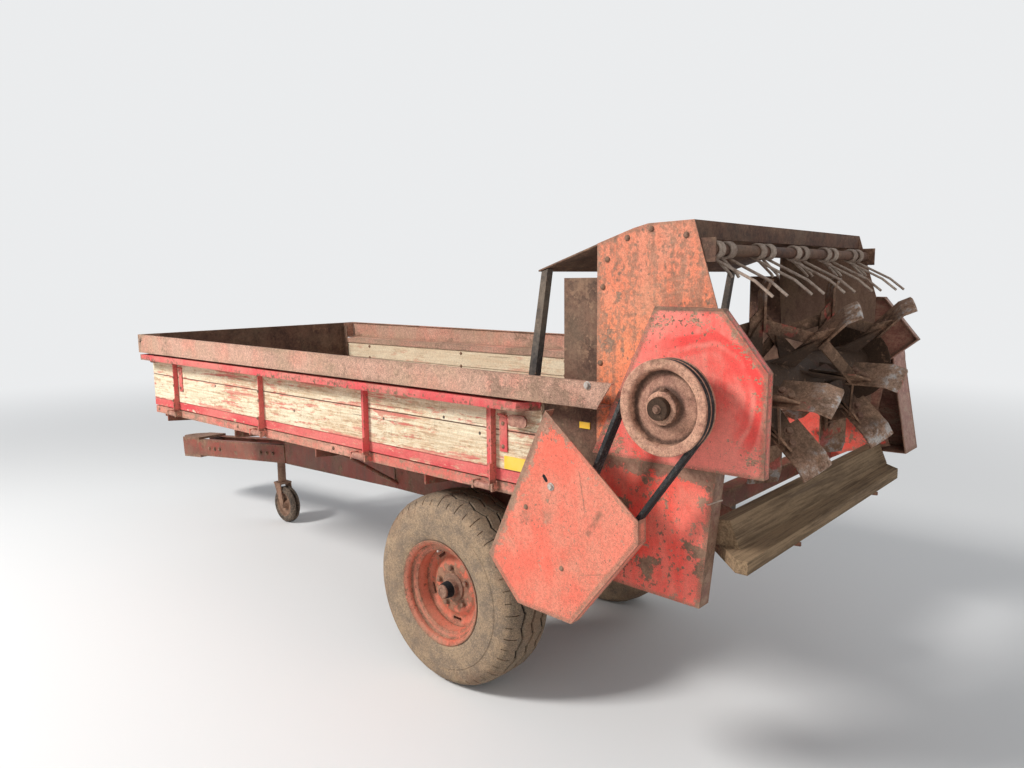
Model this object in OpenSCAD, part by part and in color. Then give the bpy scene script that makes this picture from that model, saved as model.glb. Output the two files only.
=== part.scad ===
// Single-axle manure spreader with a floor conveyor, hinged drop sides and a rear paddle rotor.
// Millimetres. +Y points the way it is towed, +X to its right, Z = 0 is the ground.
// The origin is under the middle of the whole machine. Every sub-part is written from the
// wheel axle (y = 0 at the axle) and moved by at_axle(), so lengths can be read off directly.

/* [Wheels] */
// Outer radius of the tyre
tyre_r = 380; // [340:1:420]
// Section width of the tyre
tyre_w = 264; // [220:1:280]
// Radius of the rim flange
rim_flange_r = 208; // [195:1:215]
// Distance from the centre line to the middle of each wheel
wheel_x = 520; // [515:1:540]
// Radius of the axle stub that carries the hub
stub_r = 30; // [22:1:36]
// Running clearance between the hub and its stub
hub_clear = 0.5; // [0.3:0.1:1]
// Side of the square axle beam
axle_h = 70; // [60:1:90]

/* [Frame] */
// Height of the underside of the side sills
sill_z = 852; // [830:1:900]
// Height of the side sills
sill_h = 38; // [30:1:40]
// Height of the long frame channels
stringer_h = 80; // [60:1:80]
// Distance from the centre line to the outside of the long frame channels
stringer_x = 345; // [320:1:350]
// Flange width of the long frame channels
stringer_b = 45; // [35:1:55]
// Wall of the frame channels
channel_t = 6; // [4:0.5:8]
// Width of a cross member along the machine
cross_b = 60; // [40:1:80]

/* [Drawbar] */
// Height of the drawbar channels at the axle
drawbar_h = 140; // [120:1:150]
// Distance from the axle to where the drawbar starts to narrow
drawbar_bend_y = 600; // [520:1:680]
// Distance from the axle to the back of the drawbar nose
nose_y = 1900; // [1800:1:2000]
// Height of the underside of the drawbar nose at its back
nose_z = 505; // [490:1:520]
// Half width of the drawbar nose
nose_x = 100; // [85:1:110]
// Height of the nose channels
nose_h = 110; // [95:1:115]
// Length of the nose channels along their slope
nose_l = 1315; // [1250:1:1380]
// Length of the hitch plates along the slope
hitch_l = 340; // [300:1:380]
// Thickness of each hitch plate
hitch_t = 14; // [10:1:18]
// Radius of the hitch pin hole
hitch_bore_r = 17; // [12:0.5:20]
// Distance from the tip of the hitch plates back to the pin
hitch_pin_back = 62; // [50:1:75]

/* [Load box] */
// Inside width of the load box
box_w = 1280; // [1260:1:1290]
// Thickness of the side planks
plank_t = 30; // [22:1:32]
// Distance from the axle to the front of the box
box_front = 2330; // [2320:1:2350]
// Distance from the axle to the back end of the drop sides
side_back = 545; // [530:1:550]
// Height of the top edge of the side planks
plank_top = 1185; // [1150:1:1187]
// Gap between the sill and the lowest plank
side_gap = 6; // [5:0.5:8]
// Thickness of the floor boards
floor_t = 25; // [20:1:27]
// Height of the top of the floor
floor_z = 930; // [925:1:935]
// Height of the underside of the steel rim
rim_z = 1201; // [1198:1:1215]
// Height of the steel rim
rim_h = 100; // [80:1:120]
// Distance that the rim stands outside the planks
rim_out = 74; // [60:1:80]
// Width of the lip folded in along the top of the rim
rim_lip = 14; // [8:1:20]
// Thickness of the sheet metal
sheet_t = 4; // [3:0.5:5]

/* [Drop side hinges] */
// Distance from the centre line to the hinge line
hinge_x = 690; // [688:1:696]
// Height of the hinge line
hinge_z = 872; // [868:1:876]
// Radius of the hinge pins
hinge_pin_r = 8; // [6:0.5:9]
// Width of a side post
post_w = 40; // [30:1:50]

/* [Rotor] */
// Distance from the axle back to the rotor shaft
rotor_back = 1086; // [1080:1:1100]
// Height of the rotor shaft
rotor_z = 1243; // [1235:1:1250]
// Radius to the paddle tips
rotor_r = 335; // [320:1:338]
// Radius of the rotor drum
drum_r = 70; // [55:1:80]
// Length of the rotor drum
drum_l = 1240; // [1200:1:1260]
// Radius of the rotor shaft
shaft_r = 30; // [22:1:32]
// Number of paddle stations along the drum
paddle_n = 8; // [5:1:8]
// Turn from one station to the next
paddle_turn = 45; // [20:1:60]
// Width of a paddle blade along the drum
blade_w = 110; // [80:1:120]
// Length of a paddle blade out to its tip
blade_l = 165; // [130:1:180]
// Thickness of a paddle blade
blade_t = 8; // [6:0.5:10]
// Thickness of the folded arms and the flights between them
arm_t = 6; // [4:0.5:8]

/* [Belt drive] */
// Outer radius of the rotor pulley
big_pulley_r = 131; // [120:1:135]
// Outer radius of the drive pulley
small_pulley_r = 65; // [55:1:72]
// Distance from the axle back to the drive shaft
drive_back = 772; // [765:1:780]
// Height of the drive shaft
drive_z = 694; // [690:1:710]
// Distance from the centre line to the middle of the belts
belt_x = 802; // [798:1:806]
// Number of belts
belt_n = 2; // [1:1:2]
// Width of a belt
belt_w = 17; // [13:1:18]
// Depth of a belt
belt_d = 11; // [8:1:12]
// Distance from the centre line to the outside of the belt guard and the right guard
guard_x = 860; // [850:1:870]

/* [Housing] */
// Distance from the centre line to the outside of the bearing panels
panel_x = 700; // [696:1:704]
// Height of the top of the housing
housing_top = 1741; // [1730:1:1760]

/* [Jockey wheel] */
// Distance from the centre line to the jockey leg
jockey_x = 150; // [146:1:170]
// Distance from the axle to the jockey leg
jockey_y = 2385; // [2380:1:2420]
// Radius of the jockey wheel
jockey_r = 120; // [100:1:130]
// Width of the jockey wheel
jockey_w = 60; // [50:1:70]
// Distance that the wheel trails behind the leg
jockey_trail = 50; // [30:1:60]
// Radius of the sliding leg
leg_r = 26; // [20:1:28]

/* [Hidden] */
$fn = 64;

touch = 0.3; // gap between pieces that are bolted or welded together
spare = 1; // how far a cut runs past the face that it opens
slope = atan((sill_z - stringer_h - drawbar_h - nose_z) / (nose_y - drawbar_bend_y));
nose_start = 30; // back end of the nose channels, along the slope
hitch_lap = 240; // length of the hitch plates that lies on the nose channels
hitch_y = nose_start + nose_l + hitch_l - hitch_lap; // tip of the hitch plates, along the slope
nose_reach = nose_y + hitch_y * cos(slope) + (nose_h + touch + hitch_t) * sin(slope);
tail_reach = rotor_back + rotor_r;
axle_y = (tail_reach - nose_reach) / 2;

red = "firebrick";
faded = "indianred";
rust = "sienna";
wood = "burlywood";
steel = "dimgray";
black = [0.12, 0.12, 0.12];

box_in = box_w / 2;
box_out = box_in + plank_t;
frame_top = sill_z;
frame_bottom = sill_z - stringer_h;
sill_top = sill_z + sill_h;
stringer_back = 680;
housing_x = box_out - 2; // outside of the housing plates and sills
sill_in = box_in - 20; // half the width between the sills
front_beam_top = frame_top + 45;
wall_x = box_in - 5.5; // half the width of the front wall, clear of the drop sides
hinge_y = [2050, 1180, 385, -320];
chain_x = 430; // middle of each conveyor chain
chain_r = 38; // radius of the middle of the chain round its wheels
conveyor_front = 2220; // front shaft, from the axle
conveyor_back = -640; // back shaft, from the axle
conveyor_z = floor_z + 11 - chain_r;
conveyor_shaft_r = 17;
shaft_hole_r = conveyor_shaft_r + 4; // hole or notch that the back conveyor shaft passes through
cross_y = [-640, 40, 760, 1460, 2200];
beam_back = 1000; // back face of the rear cross beam, from the axle
beam_d = 59; // depth of the rear cross beam along the machine
beam_z = 820; // height of the underside of the rear cross beam
gear_front = conveyor_back - cross_b / 2 - touch; // front of the gearbox, against the frame
panel_depth = panel_x - housing_x - touch; // the folded edges of a panel reach its housing plate
panel_low = 1058; // height of the seam between bearing panel and lower panel

// Moves a sub-part that is written from the axle into the machine's own frame
module at_axle() translate([0, axle_y, 0]) children();

// Draws the left side as written, or its mirror image on the right
module on_side(side) mirror([side > 0 ? 1 : 0, 0, 0]) children();

// Draws a left-hand piece on both sides
module both_sides() for (side = [-1, 1]) on_side(side) children();

// Plate in a plane of constant x, drawn by its (y, z) outline, from x to x + t
module side_plate(x, t, outline)
    translate([x, 0, 0]) rotate([90, 0, 90]) linear_extrude(t) polygon(outline);

// Folded edges of a side plate: for each named corner, the edge to the next corner,
// folded from x by depth, with the sheet's thickness inside the outline
module folded_edges(x, depth, outline, corners)
    for (i = corners) {
        a = outline[i];
        b = outline[(i + 1) % len(outline)];
        run = (b - a) / norm(b - a);
        inward = [-run[1], run[0]] * sheet_t;
        side_plate(x, depth, [a, b, b + inward, a + inward]);
    }

// Channel along +Y with its web at x = 0 and its flanges towards +X
module channel(height, width, wall, length)
    difference() {
        cube([width, length, height]);
        translate([wall, -spare, wall])
            cube([width, length + 2 * spare, height - 2 * wall]);
    }

// Outline moved inwards by a wall thickness, for corners listed with the inside on their left
function inset(outline, wall) = [
    for (i = [0 : len(outline) - 1])
        let (
            last = outline[(i + len(outline) - 1) % len(outline)],
            here = outline[i],
            next = outline[(i + 1) % len(outline)],
            u = (here - last) / norm(here - last),
            v = (next - here) / norm(next - here),
            n = [-u[1], u[0]],
            m = [-v[1], v[0]]
        )
        here + wall * (n + m) / (1 + n * m)
];

// Round bar along +X from the given middle of its left end
module bar_x(x, y, z, r, length) translate([x, y, z]) rotate([0, 90, 0]) cylinder(r = r, h = length);

// Long frame channels under the floor
module stringers() color(rust) at_axle() both_sides()
    translate([-stringer_x, -stringer_back, frame_bottom])
        channel(stringer_h, stringer_b, channel_t, box_front - 40 + stringer_back);

// Cross members between the long channels, outriggers to the sills and angles under the floor
module cross_members() color(rust) at_axle() {
    inner = stringer_x - channel_t;
    for (y = cross_y) {
        translate([-inner + touch, y - cross_b / 2, frame_bottom + 10])
            difference() {
                cube([2 * (inner - touch), cross_b, stringer_h - 2 * channel_t - 8]);
                translate([-spare, channel_t, channel_t])
                    cube([2 * inner + 2 * spare, cross_b, stringer_h - 4 * channel_t - 8]);
            }
        both_sides()
            side_rib(y);
    }
    for (y = [-560 : 460 : 2170])
        translate([-sill_in, y, floor_z - floor_t - 25])
            difference() {
                cube([2 * sill_in, 25, 25]);
                translate([-spare, 5, -spare]) cube([box_w, 25, 25 - 5 + spare]);
            }
    translate([-sill_in, box_front - 40 + touch, front_beam_top - 75]) cube([2 * sill_in, 38, 75]);
}

// Tapered outrigger from a long channel to the sill
module side_rib(y) {
    translate([0, y + 4, 0]) rotate([90, 0, 0]) linear_extrude(8) polygon([
        [-stringer_x - touch, frame_bottom + 10], [-stringer_x - touch, frame_top],
        [-box_out + 6, frame_top - touch], [-box_out + 6, frame_top - 40]
    ]);
}

// Side sills with the hinge lugs and pins of the drop sides
module side_sills() color(red) at_axle() both_sides() {
    back = beam_back - beam_d - touch;
    difference() {
        translate([-housing_x, -back, sill_z])
            channel(sill_h, housing_x - sill_in - touch, 5, box_front + back);
        bar_x(-housing_x - spare, conveyor_back, conveyor_z, shaft_hole_r, 60);
    }
    for (y = hinge_y) {
        lug_t = 8;
        start = y - post_w / 2 - eye_clear - lug_t;
        for (low = [start, y - post_w / 2 + eye_l + eye_clear])
            translate([-hinge_x - eye_r, low, hinge_z - eye_r])
                cube([hinge_x + eye_r - housing_x + 1, lug_t, 2 * eye_r]);
        translate([-hinge_x, start - 3, hinge_z])
            rotate([-90, 0, 0]) cylinder(r = hinge_pin_r, h = eye_l + 2 * eye_clear + 2 * lug_t + 6);
    }
}

// Drawbar: straight channels over the axle, channels that narrow to the nose, and braces
module drawbar_beams() color(rust) at_axle() both_sides() {
    translate([-stringer_x, -stringer_back + 320, frame_bottom - drawbar_h - touch])
        channel(drawbar_h, 60, channel_t, stringer_back - 320 + drawbar_bend_y);
    narrow = atan((stringer_x - nose_x) / (nose_y - drawbar_bend_y));
    start = drawbar_bend_y + 2;
    run = nose_y + nose_start * cos(slope) - touch - start; // up to the nose channels
    translate([-stringer_x, start, frame_bottom - drawbar_h - touch])
        rotate([-slope, 0, -narrow])
            channel(drawbar_h - 8, 55, channel_t, run / (cos(slope) * cos(narrow)));
    rod([-600, 725, frame_top - 6], [-stringer_x + 3, 590, 655], 9);
    translate([-630, 700, frame_top - touch - 6]) cube([50, 50, 6]);
}

// Round rod between two points
module rod(from, to, r) {
    run = to - from;
    flat = norm([run[0], run[1]]);
    translate(from) rotate([0, atan2(flat, run[2]), atan2(run[1], run[0])]) cylinder(r = r, h = norm(run));
}

// Places a piece in the sloping frame of the drawbar nose
module on_nose() translate([0, nose_y, nose_z]) rotate([-slope, 0, 0]) children();

// Drawbar nose: two channels with cross plates
module drawbar_nose() color(rust) at_axle() on_nose() {
    both_sides() translate([-nose_x, nose_start, 0]) channel(nose_h, 40, channel_t, nose_l);
    for (y = [60, 700, 1120])
        translate([-nose_x + channel_t, y, 20]) cube([2 * (nose_x - channel_t), 10, nose_h - 40]);
}

// Hitch plates above and below the nose, with the upright pin hole
module hitch_plates() color(rust) at_axle() on_nose()
    for (z = [-hitch_t - touch, nose_h + touch])
        translate([0, 0, z])
            difference() {
                union() {
                    translate([-nose_x, hitch_y - hitch_l, 0])
                        cube([2 * nose_x, hitch_l - hitch_pin_back - 40, hitch_t]);
                    hull() {
                        translate([-nose_x, hitch_y - hitch_pin_back - 80, 0])
                            cube([2 * nose_x, 10, hitch_t]);
                        translate([0, hitch_y - hitch_pin_back, 0])
                            cylinder(r = hitch_pin_back, h = hitch_t, $fn = 32);
                    }
                }
                translate([0, hitch_y - hitch_pin_back, -spare])
                    cylinder(r = hitch_bore_r, h = hitch_t + 2 * spare);
            }

// Axle beam with its stubs and the brackets up to the drawbar
module axle() color(steel) at_axle() {
    half = stringer_x + 5;
    difference() {
        translate([-half, -axle_h / 2, tyre_r - axle_h / 2]) cube([2 * half, axle_h, axle_h]);
        translate([-half - spare, -axle_h / 2 + 8, tyre_r - axle_h / 2 + 8])
            cube([40, axle_h - 16, axle_h - 16]);
    }
    both_sides() {
        bar_x(-wheel_x - 70, 0, tyre_r, stub_r, wheel_x + 70 - half + 60);
        bracket_z = tyre_r + axle_h / 2;
        translate([-stringer_x, -80, bracket_z]) cube([60, 8, frame_bottom - drawbar_h - bracket_z - touch]);
        translate([-stringer_x, 72, bracket_z]) cube([60, 8, frame_bottom - drawbar_h - bracket_z - touch]);
        translate([-stringer_x, -80, bracket_z]) cube([60, 160, 8]);
        translate([-stringer_x, -80, frame_bottom - drawbar_h - 2 * touch - 8]) cube([60, 160, 8]);
    }
}

// Long floor boards
module floor_boards() color(wood) at_axle() {
    count = 7;
    pitch = (box_w - 16) / count;
    for (i = [0 : count - 1])
        translate([-box_in + 8 + i * pitch, -590, floor_z - floor_t])
            cube([pitch - 3, 2170 + 590, floor_t]);
}

// Floor conveyor: two chains as closed loops and the slats that they carry
module conveyor() color(rust) at_axle() {
    both_sides()
        translate([-chain_x - 10, 0, conveyor_z]) rotate([90, 0, 90]) linear_extrude(20)
            difference() {
                chain_loop(chain_r + 6);
                chain_loop(chain_r - 6);
            }
    slat_n = 9;
    pitch = (conveyor_front - conveyor_back) / slat_n;
    for (i = [0 : slat_n - 1]) {
        translate([-chain_x - 40, conveyor_back + (i + 0.5) * pitch, conveyor_z + chain_r - 10])
            cube([2 * (chain_x + 40), 30, 20]);
        translate([-chain_x - 40, conveyor_back + (i + 0.25) * pitch, conveyor_z - chain_r - 10])
            cube([2 * (chain_x + 40), 30, 20]);
    }
}

// Outline of a chain that runs round both shafts at radius r
module chain_loop(r) {
    translate([conveyor_back, -r]) square([conveyor_front - conveyor_back, 2 * r]);
    translate([conveyor_back, 0]) circle(r = r);
    translate([conveyor_front, 0]) circle(r = r);
}

// Front and back conveyor shafts with chain wheels and bearing blocks
module conveyor_shafts() color(steel) at_axle() {
    for (y = [conveyor_back, conveyor_front]) {
        reach = y == conveyor_back ? panel_x + 60 : box_in - 40;
        bar_x(-box_in + 40, y, conveyor_z, conveyor_shaft_r, box_in - 40 + reach);
        both_sides() {
            bar_x(-chain_x - 6, y, conveyor_z, chain_r - 6 - touch, 12);
            translate([-sill_in, y - 35, conveyor_z - 40]) cube([24, 70, 70]);
        }
    }
}

// Front wall: sheet with two upright ribs and the corner angles inside the box
module front_wall() color(rust) at_axle() {
    low = front_beam_top + touch;
    translate([-wall_x, box_front - 30, low]) cube([2 * wall_x, sheet_t, rim_z + rim_h - low]);
    for (x = [-wall_x / 3, wall_x / 3])
        translate([x - 20, box_front - 27, low]) cube([40, 27 - touch, rim_z - low]);
    both_sides()
        translate([-wall_x, box_front - 70, low])
            difference() {
                cube([40, 41, rim_z + rim_h - 20 - low]);
                translate([sheet_t, -spare, -spare]) cube([40, 42 - sheet_t, rim_z + rim_h]);
            }
}

// Steel rim round the top of the box
module rims() color(faded) at_axle() {
    both_sides() {
        x = -box_out - rim_out;
        side_plate(x, sheet_t, [
            [box_front, rim_z], [box_front, rim_z + rim_h], [-868, rim_z + rim_h - 20], [-816, rim_z]
        ]);
        translate([x, -816, rim_z]) cube([box_out + rim_out - housing_x - touch, box_front + 816, sheet_t]);
        side_plate(x, rim_lip, [
            [box_front, rim_z + rim_h], [-868, rim_z + rim_h - 20], [-868, rim_z + rim_h - 20 - sheet_t],
            [box_front, rim_z + rim_h - sheet_t]
        ]);
    }
    translate([-box_out - rim_out + sheet_t + touch, box_front, rim_z])
        cube([2 * (box_out + rim_out - sheet_t - touch), sheet_t, rim_h]);
}

// Plates that close the box between the drop sides and the rotor housing
module extension_plates() color(rust) at_axle() both_sides()
    difference() {
        side_plate(-housing_x + sheet_t + touch, sheet_t, [
            [-side_back - 6, sill_top + touch], [-side_back - 6, rim_z - 12], [-634, rim_z - 12],
            [-634, housing_top - 154], [-762, housing_top - 154], [-790, rim_z],
            [-790, sill_top + touch]
        ]);
        bar_x(-housing_x, conveyor_back, conveyor_z, shaft_hole_r, 20);
    }

roof_line = [
    for (p = [[-1083, 0], [-939, 3], [-889, 14], [-763, 53], [-530, 128]]) [p[0], housing_top - p[1]]
];

housing_outline = concat(
    [roof_line[0], [-1157, housing_top - 236], [-1157, 1075], [-763, 1075]],
    [roof_line[3], roof_line[2], roof_line[1]]
);

// Upper side plates of the rotor housing
module housing_plates() color("coral") at_axle() both_sides()
    difference() {
        side_plate(-housing_x, sheet_t, housing_outline);
        bar_x(-housing_x - spare, -rotor_back, rotor_z, shaft_r + 8, sheet_t + 2 * spare);
    }

left_panel = [[-1188, 1501], [-1319, 1338], [-1316, panel_low], [-770, panel_low], [-984, 1506]];
right_panel = [
    [-1188, 1501], [-1319, 1338], [-1212, 1250], [-1180, panel_low], [-770, panel_low], [-984, 1506]
];

// Bearing panels outside the housing plates, with folded edges
module bearing_panels() color(red) at_axle()
    for (side = [-1, 1]) on_side(side) {
        outline = side < 0 ? left_panel : right_panel;
        edges = side < 0 ? [0, 1, 3, 4] : [0, 1, 4, 5];
        difference() {
            union() {
                side_plate(-panel_x, sheet_t, outline);
                folded_edges(-panel_x, panel_depth, outline, edges);
            }
            bar_x(-panel_x - spare, -rotor_back, rotor_z, shaft_r + 8, sheet_t + 2 * spare);
        }
    }

lower_top = panel_low - touch;
left_lower = [[-1182, lower_top], [-1140, 660], [-690, 672], [-690, 900], [-800, lower_top]];
right_lower = [
    [-1176, lower_top], [-1230, 905], [-1066, 860], [-beam_back, 822], [-930, 822], [-800, 880],
    [-800, lower_top]
];

// Lower side panels, deeper on the left where the drive shaft comes out
module lower_panels() color(red) at_axle() {
    difference() {
        union() {
            side_plate(-panel_x, sheet_t, left_lower);
            folded_edges(-panel_x, 55, left_lower, [0]);
            folded_edges(-panel_x, panel_depth, left_lower, [2]);
            folded_edges(-panel_x, 24, left_lower, [4]);
        }
        bar_x(-panel_x - spare, -drive_back, drive_z, 26, 60);
    }
    on_side(1) {
        side_plate(-panel_x, sheet_t, right_lower);
        folded_edges(-panel_x, 24, right_lower, [6]);
    }
}

hood_lip = 50;

// Roof and hood sheet, folded down along its back edge
module housing_roof() color(rust) at_axle() {
    half = housing_x - sheet_t - touch;
    last = len(roof_line) - 1;
    under = [for (i = [last : -1 : 0]) roof_line[i] - [0, sheet_t + 1]];
    side_plate(-half, 2 * half, concat(roof_line, under));
    side_plate(-half, 2 * half, [
        [-1083, housing_top], [-1083, housing_top - hood_lip],
        [-1083 + sheet_t, housing_top - hood_lip], [-1083 + sheet_t, housing_top]
    ]);
}

// Angle-iron stays from the front of the hood to the rim
module hood_stays() color(steel) at_axle() both_sides() {
    foot_z = rim_z + sheet_t + touch;
    side_plate(-housing_x + 8, 28, [
        [-470, foot_z], [-500, foot_z], [-565, housing_top - 124], [-540, housing_top - 132]
    ]);
    translate([-housing_x - 40, -510, foot_z]) cube([76, 50, 6]);
}

tine_bar_y = -1110;
tine_bar_drop = 81; // from the top of the hood
tine_bar_z = housing_top - tine_bar_drop;
tine_bar_r = 17;

// Bar that carries the spring tines, with its end brackets
module tine_bar() color(rust) at_axle() {
    half = housing_x - sheet_t - touch;
    top = tine_bar_drop - hood_lip - touch; // just under the hood's folded edge
    bar_x(-half, tine_bar_y, tine_bar_z, tine_bar_r, 2 * half);
    both_sides()
        side_plate(-half, 6, [for (p = [[-36, -34], [36, -34], [62, 8], [62, top], [-36, top]])
            [tine_bar_y + p[0], tine_bar_z + p[1]]]);
}

tine_wire_r = 4;
tine_x = [-560, -290, -20, 250, 520];
coil_turns = 4;
coil_pitch = 2 * tine_wire_r + 0.3;
coil_r = tine_bar_r + tine_wire_r + touch; // middle of the wire

// Double spring tines: two coils round the bar, each with a long leg and a short, steeper leg
// that stops clear of the blades
module spring_tines() color("silver") at_axle()
    for (x = tine_x, end = [-1, 1]) translate([x + end * 34, tine_bar_y, tine_bar_z]) {
        rotate([0, 90, 0]) rotate_extrude($fn = 48) {
            for (i = [0 : coil_turns - 1])
                translate([coil_r, (i - (coil_turns - 1) / 2) * coil_pitch])
                    circle(r = tine_wire_r, $fn = 24);
            translate([coil_r - 1.5, -(coil_turns - 1) / 2 * coil_pitch])
                square([3, (coil_turns - 1) * coil_pitch]);
        }
        last = (coil_turns - 1) / 2 * coil_pitch + 1;
        tine_leg(end * last, 27, 150, 65);
        tine_leg(-end * last, 44, 74, 12);
    }

// Leg of a tine, leaving its coil at the given dip and bent down a little near its end
module tine_leg(x, dip, straight, tip)
    translate([x, coil_r * sin(dip), -coil_r * cos(dip)]) rotate([90 + dip, 0, 0]) {
        wire = tine_wire_r * 1.06;
        cylinder(r = wire, h = straight);
        translate([0, 0, straight]) sphere(r = wire * 1.04);
        translate([0, 0, straight]) rotate([12, 0, 0]) cylinder(r = wire, h = tip);
    }

// Cross beam under the rotor, with the flat arms that carry the timber beams
module rear_beam() color(rust) at_axle() {
    translate([-panel_x + sheet_t + touch, -beam_back, beam_z])
        difference() {
            cube([2 * (panel_x - sheet_t - touch), beam_d, 60]);
            translate([-spare, 6, 6]) cube([2 * panel_x, beam_d - 12, 48]);
        }
    for (x = bracket_x)
        side_plate(x, 8, [
            [-beam_back + 1, beam_z + 4], [-beam_back + 1, beam_z + 56], [-1090, 850],
            [-1120, board_top - board_t - touch], [-1290, board_top - board_t - touch],
            [-1290, 785], [-1060, 770]
        ]);
}

board_top = 835; // height of the top of the lower timber beam
board_t = 38;
bracket_x = [-364, 356];

// Two timber beams across the back, the upper one standing on the lower one
module rear_boards() color(wood) at_axle() {
    translate([0, 0, board_top - board_t]) linear_extrude(board_t) polygon([
        [-712, -1285], [620, -1285], [692, -1213], [692, -1130], [-592, -1130], [-712, -1250]
    ]);
    side_plate(-635, 635 + 685, [
        [-1226, board_top + touch], [-1195, board_top + 77], [-1145, board_top + 70],
        [-1145, board_top + touch]
    ]);
}

// Bevel gearbox under the back of the floor
module gearbox() color(steel) at_axle() {
    translate([-100, -drive_back - 90, drive_z - 80]) cube([200, gear_front - 12 + drive_back + 90, 160]);
    translate([-120, gear_front - 13, drive_z - 60]) cube([240, 13, frame_bottom + 60 - drive_z + 60]);
}

// Flange bearings of the rotor, the drive shaft and the towing shaft
module shaft_bearings() color(steel) at_axle() {
    for (side = [-1, 1]) on_side(side)
        flange_bearing(-panel_x, -rotor_back, rotor_z, shaft_r, 62);
    flange_bearing(-panel_x, -drive_back, drive_z, 17.5, 48);
    translate([-60, cross_y[4] + cross_b / 2 + touch, drive_z - 50])
        difference() {
            cube([120, 12, frame_bottom + stringer_h / 2 - drive_z + 50]);
            translate([60, -spare, 50]) rotate([-90, 0, 0]) cylinder(r = pto_r + 0.5, h = 14);
        }
}

// Square flange bearing on the outside of a side panel
module flange_bearing(x, y, z, r, size)
    difference() {
        union() {
            translate([x - 14 - touch, y - size, z - size]) cube([14, 2 * size, 2 * size]);
            bar_x(x - 30 - touch, y, z, r + 16, 18);
        }
        bar_x(x - 40, y, z, r + 0.5, 60);
    }

guard_outline = [[-715, 1203], [-1038, 931], [-1039, 867], [-810, 572], [-602, 580], [-479, 713]];

// Belt guard: a pan with a folded edge, open towards the rotor pulley
module belt_guard() color(faded) at_axle() {
    side_plate(-guard_x, sheet_t, guard_outline);
    folded_edges(-guard_x, 40, guard_outline, [1, 2, 3, 4, 5]);
    bar_x(-guard_x + sheet_t, -720, 880, 10, guard_x - sheet_t - panel_x - touch);
    bar_x(-guard_x + sheet_t, -640, 868, 10, guard_x - sheet_t - housing_x - touch);
}

right_guard_outline = [[-1226, rotor_z], [-1290, 880], [-585, 870], [-585, 960], [-946, rotor_z]];

// Closed guard over the conveyor drive on the right, a shell that is open towards the panel
module right_guard() color(red) at_axle()
    difference() {
        right_guard_shape(panel_x + touch, guard_x - panel_x - touch, 0);
        right_guard_shape(panel_x, guard_x - panel_x - sheet_t, sheet_t);
    }

module right_guard_shape(x, length, wall) {
    side_plate(x, length, inset(right_guard_outline, wall));
    bar_x(x, -rotor_back, rotor_z, 140 - wall, length);
}

// Drive belts
module belts() color(black) at_axle()
    for (i = [0 : belt_n - 1])
        translate([-belt_x - belt_w / 2 + (i - (belt_n - 1) / 2) * 21, 0, 0])
            rotate([90, 0, 90]) linear_extrude(belt_w)
                difference() {
                    belt_outline(0);
                    belt_outline(-belt_d);
                }

module belt_outline(grow) hull() {
    translate([-rotor_back, rotor_z]) circle(r = big_pulley_r - 1 + grow);
    translate([-drive_back, drive_z]) circle(r = small_pulley_r - 1 + grow);
}

// V-belt pulley with its axis along X, centred on the belts
module pulley(r, hub_r, bore_r, web)
    rotate([0, 90, 0]) rotate_extrude($fn = 72) {
        half = belt_n * 21 / 2 + 6;
        difference() {
            translate([r - 26, -half]) square([26, 2 * half]);
            for (i = [0 : belt_n - 1])
                translate([r - belt_d - 2, (i - (belt_n - 1) / 2) * 21 - belt_w / 2 - 0.7])
                    square([belt_d + 3, belt_w + 1.4]);
        }
        translate([bore_r, -web / 2]) square([r - 20 - bore_r, web]);
        translate([bore_r, -half - 8]) square([hub_r - bore_r, 2 * half + 16]);
    }

sleeve_z = 492; // foot of the sleeve of the jockey leg
sleeve_l = 648;

// Sleeve of the jockey leg, clamped to the nose, with its crank
module jockey_sleeve() color(steel) at_axle() {
    difference() {
        translate([jockey_x, jockey_y, sleeve_z]) cylinder(r = leg_r + 8, h = sleeve_l);
        translate([jockey_x, jockey_y, sleeve_z - spare]) cylinder(r = leg_r + 0.5, h = sleeve_l - 18);
    }
    difference() {
        translate([nose_x + touch, jockey_y - 40, sleeve_z + 4]) cube([jockey_x - nose_x - touch, 80, 68]);
        translate([jockey_x, jockey_y, sleeve_z]) cylinder(r = leg_r + 4, h = 80);
    }
    translate([jockey_x - 6, jockey_y - 6, sleeve_z + sleeve_l]) cube([12, 12, 40]);
    translate([jockey_x - 6, jockey_y - 6, sleeve_z + sleeve_l + 28]) cube([120, 12, 12]);
}

// Small yellow reflectors on the extension plates
module reflectors() color("yellow") at_axle() both_sides()
    translate([-housing_x + sheet_t - 3, -736, 1120]) cube([3, 40, 20]);

// Yellow reflector near the back of a drop side
module side_reflector(side) color("yellow") at_axle() on_side(side)
    translate([-box_out - 4 - touch, -481, 941]) cube([4, 100, 45]);

plank_edges = [sill_top + side_gap, 935, 1073, plank_top]; // heights of the joints between planks

// Planks of a drop side
module side_boards(side) color(wood) at_axle() on_side(side) {
    for (i = [0 : len(plank_edges) - 2]) {
        low = plank_edges[i] + (i > 0 ? 2 : 0);
        translate([-box_out, -side_back, low])
            cube([plank_t, box_front + side_back, plank_edges[i + 1] - low]);
    }
}

post_web_t = 5; // sheet of the posts
eye_r = hinge_pin_r + 6; // outside of a hinge eye
eye_l = post_w + 40; // length of a hinge eye, which points forward of its post
eye_clear = 2; // gap between a hinge eye and the lug beside it
strap_y = [1992, -378]; // straps beside the first and the last post
strap_z = 1000; // height of the foot of a strap
latch_y = [2262, -462]; // oval latch handles near the ends of a drop side
latch_z = [1162, 1118];

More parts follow.
